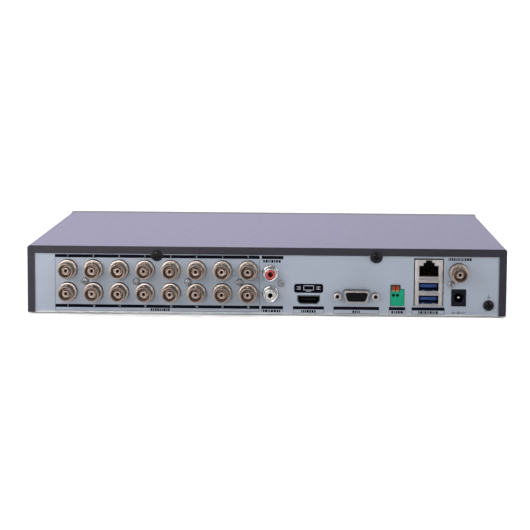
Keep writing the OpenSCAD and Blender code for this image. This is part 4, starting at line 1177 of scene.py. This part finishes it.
def board_parts():
    """Small parts scattered over the free area of the mainboard."""
    rng = random.Random(21)
    wanted, most_tries, pitch, gap = 420, 6000, 1.27, 1.2
    low, high = box_mm("mainboard")
    scattered = (
        "board_chips", "board_capacitors", "board_headers", "board_screws", "backup_battery", "heat_sink",
    )
    whole = (
        "bnc_block_1", "bnc_block_2", "bnc_block_3", "bnc_block_4", "audio_housing", "vga_insert",
        "network_usb_shield", "power_jack_housing", "video_out_housing", "hdmi_shell",
    )
    taken = [pair for node in scattered for pair in solids_mm(node)] + [box_mm(node) for node in whole]
    taken = [(a.x - gap, b.x + gap, a.y - gap, b.y + gap) for a, b in taken]
    # Width, depth, height, material and share of each kind of part
    kinds = [
        (1.6, 0.8, 0.5, 0, 30), (1.0, 0.5, 0.35, 1, 30), (2.0, 1.25, 0.6, 0, 14), (1.6, 0.8, 0.45, 1, 30),
        (3.0, 1.5, 1.1, 2, 6), (4.9, 3.9, 1.4, 1, 5), (3.2, 2.5, 1.0, 1, 5), (5.0, 5.0, 2.4, 3, 2),
    ]
    shares = [kind[-1] for kind in kinds]
    s, z = Shape(), BOARD_Z
    placed = tries = 0
    while placed < wanted and tries < most_tries:
        tries += 1
        w, d, h, mat, _ = rng.choices(kinds, shares)[0]
        if rng.random() < 0.5:
            w, d = d, w
        x, y = rng.uniform(low.x + 3, high.x - 3), rng.uniform(low.y + 3, high.y - 3)
        x, y = round(x / pitch) * pitch, round(y / pitch) * pitch
        x0, x1, y0, y1 = x - w / 2 - 0.5, x + w / 2 + 0.5, y - d / 2 - 0.5, y + d / 2 + 0.5
        if any(x0 < right and x1 > left and y0 < rear and y1 > front for left, right, front, rear in taken):
            continue
        taken.append((x0, x1, y0, y1))
        placed += 1
        s.pad(x, y, w / 2, d / 2, z, z + h, min(0.12, h * 0.25), mat, 1)
        for k in (-1, 1) if h <= 1.1 else ():
            if w >= d:
                s.pad(x, y + k * d / 2, w / 2 + 0.03, d * 0.13, z, z + h + 0.03, 0.05, 4, 1)
            else:
                s.pad(x + k * w / 2, y, w * 0.13, d / 2 + 0.03, z, z + h + 0.03, 0.05, 4, 1)
        for i in range(4) if h > 1.1 else ():
            for k in (-1, 1):
                s.pad(x + (i - 1.5) * w * 0.24, y + k * (d / 2 + 0.3), 0.2, 0.35, z, z + 0.25, mat=4)
    mats = [CERAMIC, M["chip_black"], M["contact_gold"], WINDING, M["steel_screws"]]
    s.piece("board_small_parts", mats, "chip_black")


def board_chips():
    """Chips with a pin-one dot and legs at both ends, and on the wide ones along the sides too."""
    leg_pitch, half, reach, thick = 0.8, 0.17, 0.4, 0.28
    s = Shape()
    for low, high in solids_mm("board_chips"):
        s.box(low, high, 0.12, segments=1)
        w, d, foot, top = high.x - low.x, high.y - low.y, low.z, high.z
        dot = [(top - 0.1, 0.0), (top - 0.1, 0.32), (top + 0.02, 0.38), (top + 0.02, 0.0)]
        s.lathe((low.x + 1.1, high.y - 1.1, 0), dot, axis="z", segments=16, mat=2)
        for corner, out in ((low, -0.35), (high, 0.35)):
            n = int(d / leg_pitch)
            for i in range(n):
                s.pad(corner.x + out, low.y + d * (i + 0.5) / n, reach, half, foot, foot + thick, mat=1)
            n = int(w / leg_pitch)
            for i in range(n if w > 12 else 0):
                s.pad(low.x + w * (i + 0.5) / n, corner.y + out, half, reach, foot, foot + thick, mat=1)
    s.replace("board_chips", "moulded", M["steel_screws"], INK_LIGHT)


def board_capacitors():
    s = Shape()
    for low, high in solids_mm("board_capacitors"):
        c, foot, top, can_r = middle((low, high)), low.z, high.z, 3.15
        s.box(low, (high.x, high.y, foot + 0.8), 0.5, mat=1)
        can = [
            (foot + 0.7, 0.0), (foot + 0.7, 3.05), (foot + 1.3, can_r), (foot + 1.7, 2.95),
            (foot + 2.1, can_r), (top, can_r), (top, 2.6), (top - 0.12, 2.5), (top - 0.12, 0.0),
        ]
        s.lathe((c.x, c.y, 0), soft(can, 0.2), axis="z", segments=32)
        arc = [math.radians(a) for a in range(-40, 41, 10)]
        stripe = [(3.0 * math.cos(a), 3.0 * math.sin(a)) for a in arc]
        s.prism(stripe, top - 0.11, top + 0.01, axis="z", place=(c.x, c.y, 0), mat=2)
    s.replace("board_capacitors", "cans", M["chip_black"], INK_DARK)


keep("mainboard")
board_parts()
board_chips()
board_capacitors()
eased("heat_sink", 0.15, 1)
eased("backup_battery", 0.4, 3)
eased("board_headers", 0.15, 1)
eased("board_standoffs", 0.25, 1)
keep("indicator_board")
eased("status_light_pipes", 0.2)
eased("front_usb_shell", 0.12)
eased("front_usb_tongue", 0.15)


def fan():
    eased("fan_frame", 0.4)
    low, high = box_mm("fan_rotor")
    c = centre("fan_frame")
    x0, x1, hub, tip, blades, n = low.x, high.x, 9.5, (high.y - low.y) / 2 - 0.2, 7, 6
    floor = x0 + 1.2
    cup = [
        (x0, 0.0), (x0, hub - 0.6), (x0 + 0.6, hub), (x1, hub), (x1, hub - 1), (floor, hub - 1), (floor, 1.0),
        (x1, 1.0), (x1, 0.0),
    ]
    s = Shape().lathe((0, c.y, c.z), soft(cup, 0.25), axis="x", segments=40)
    rim = [(i, 0) for i in range(n + 1)] + [(n, j) for j in range(1, n + 1)]
    rim += [(i, n) for i in range(n - 1, -1, -1)] + [(0, j) for j in range(n - 1, 0, -1)]
    for k in range(blades):
        part = bmesh.new()
        rows = []
        for i in range(n + 1):
            r = hub - 0.3 + (tip - hub + 0.3) * i / n
            chord = math.radians(38) * (1 - 0.12 * i / n)
            row = []
            for j in range(n + 1):
                t = j / n - 0.5
                a = 2 * math.pi * k / blades + 0.16 * (i / n) ** 1.4 + t * chord
                x = (x0 + x1) / 2 + t * (x1 - x0) * 0.86 + 0.5 * (0.25 - t * t)
                row.append((x, c.y + r * math.cos(a), c.z + r * math.sin(a)))
            rows.append(row)
        faces = [[[part.verts.new((x + h, y, z)) for x, y, z in row] for row in rows] for h in (0.35, -0.35)]
        for side in faces:
            for i in range(n):
                for j in range(n):
                    part.faces.new((side[i][j], side[i][j + 1], side[i + 1][j + 1], side[i + 1][j]))
        over, under = faces
        for (i, j), (u, v) in zip(rim, rim[1:] + rim[:1]):
            part.faces.new((over[i][j], over[u][v], under[u][v], under[i][j]))
        bmesh.ops.recalc_face_normals(part, faces=part.faces[:])
        s.take(part)
    s.replace("fan_rotor", "moulded")


fan()


def hard_disk():
    eased("hdd_base", 0.5)
    eased("hdd_lid", 0.3)
    keep("hdd_platters")
    eased("hdd_actuator", 0.15, 1)
    eased("hdd_circuit_board", 0.1, 1)
    low, high = box_mm("hdd_lid")
    c, top = middle((low, high)), high.z
    x0, x1, y0, y1 = c.x + 10, high.x - 9, low.y + 12, high.y - 12
    plate = Shape().box((x0, y0, top - 0.02), (x1, y1, top + 0.06), 0.03, segments=1)
    rng = random.Random(5)
    rows, row_pitch = 9, 7.2
    for i in range(rows):
        y = y1 - 5 - i * row_pitch
        x = x0 + 3
        while x < x1 - 12:
            run = rng.uniform(4, 12)
            plate.box((x, y, top + 0.05), (x + run, y + 1.4, top + 0.08), mat=1)
            x += run + 2.2
    plate.piece("disk_label_plate", [LABEL_PAPER, INK_DARK], "disk_lid")
    heads, z, rise = Shape(), top - 0.5, top + 0.2
    line = [(z, 0.0), (z, 2.1), (z + 0.55, 2.0), (rise, 1.5), (rise, 0.75), (z + 0.2, 0.7), (z + 0.2, 0.0)]
    for sx in (-1, 1):
        for y in (-44, 0, 44):
            place = (c.x + sx * ((high.x - low.x) / 2 - 4), c.y + y, 0)
            heads.lathe(place, soft(line, 0.1), axis="z", segments=24)
    heads.piece("disk_lid_screws", [M["steel_screws"]], "steel_screws")


hard_disk()
for cable in ("disk_data_cable", "disk_power_cable", "front_panel_cable"):
    keep(cable)

# ---------------------------------------------------------------- studio


def area_light(name, place, target, size, power, spread=180):
    data = bpy.data.lights.new(name, "AREA")
    data.shape = "RECTANGLE"
    data.size, data.size_y = size
    data.energy = power
    data.spread = math.radians(spread)
    lamp = bpy.data.objects.new(name, data)
    bpy.context.scene.collection.objects.link(lamp)
    lamp.location = place
    lamp.rotation_mode = "QUATERNION"
    lamp.rotation_quaternion = (Vector(target) - Vector(place)).to_track_quat("-Z", "Y")


SKY_BRIGHT = 1.18
SKY_DIM = 0.45


def studio():
    mesh = bpy.data.meshes.new("studio_floor")
    bm = bmesh.new()
    bmesh.ops.create_grid(bm, x_segments=1, y_segments=1, size=6.0)
    bm.to_mesh(mesh)
    bm.free()
    floor = bpy.data.objects.new("studio_floor", mesh)
    bpy.context.scene.collection.objects.link(floor)
    f = Finish("studio_floor", (0.92, 0.92, 0.925), 0.85, Emission_Strength=0.15)
    mesh.materials.append(f.mottle(400, 0.01).mat)
    world = bpy.data.worlds.new("studio_world")
    world.use_nodes = True
    back = world.node_tree.nodes["Background"]
    tree = world.node_tree
    sky = tree.nodes.new("ShaderNodeTexCoord")
    parts = tree.nodes.new("ShaderNodeSeparateXYZ")
    fade = tree.nodes.new("ShaderNodeMapRange")
    fade.interpolation_type = "SMOOTHSTEP"
    for key, value in (("From Min", -0.35), ("From Max", 0.9), ("To Min", SKY_BRIGHT), ("To Max", SKY_DIM)):
        fade.inputs[key].default_value = value
    tree.links.new(sky.outputs["Generated"], parts.inputs["Vector"])
    tree.links.new(parts.outputs["Y"], fade.inputs["Value"])
    tree.links.new(fade.outputs["Result"], back.inputs["Strength"])
    back.inputs["Color"].default_value = (1.0, 1.0, 1.0, 1)
    bpy.context.scene.world = world
    area_light("key_top", (0.1, 0.3, 1.5), (0, 0, 0), (1.6, 1.2), 10)
    area_light("fill_rear", (0.38, 0.55, 0.22), (0.19, 0.1, 0.02), (0.3, 0.3), 2.1)
    area_light("fill_beam", (0.26, 1.2, 0.22), (0.15, 0.12, 0.02), (0.25, 0.25), 0.25, spread=36)
    area_light("fill_left", (-0.46, 0.52, 0.24), (-0.2, 0.1, 0.02), (0.3, 0.3), 2.0)


studio()
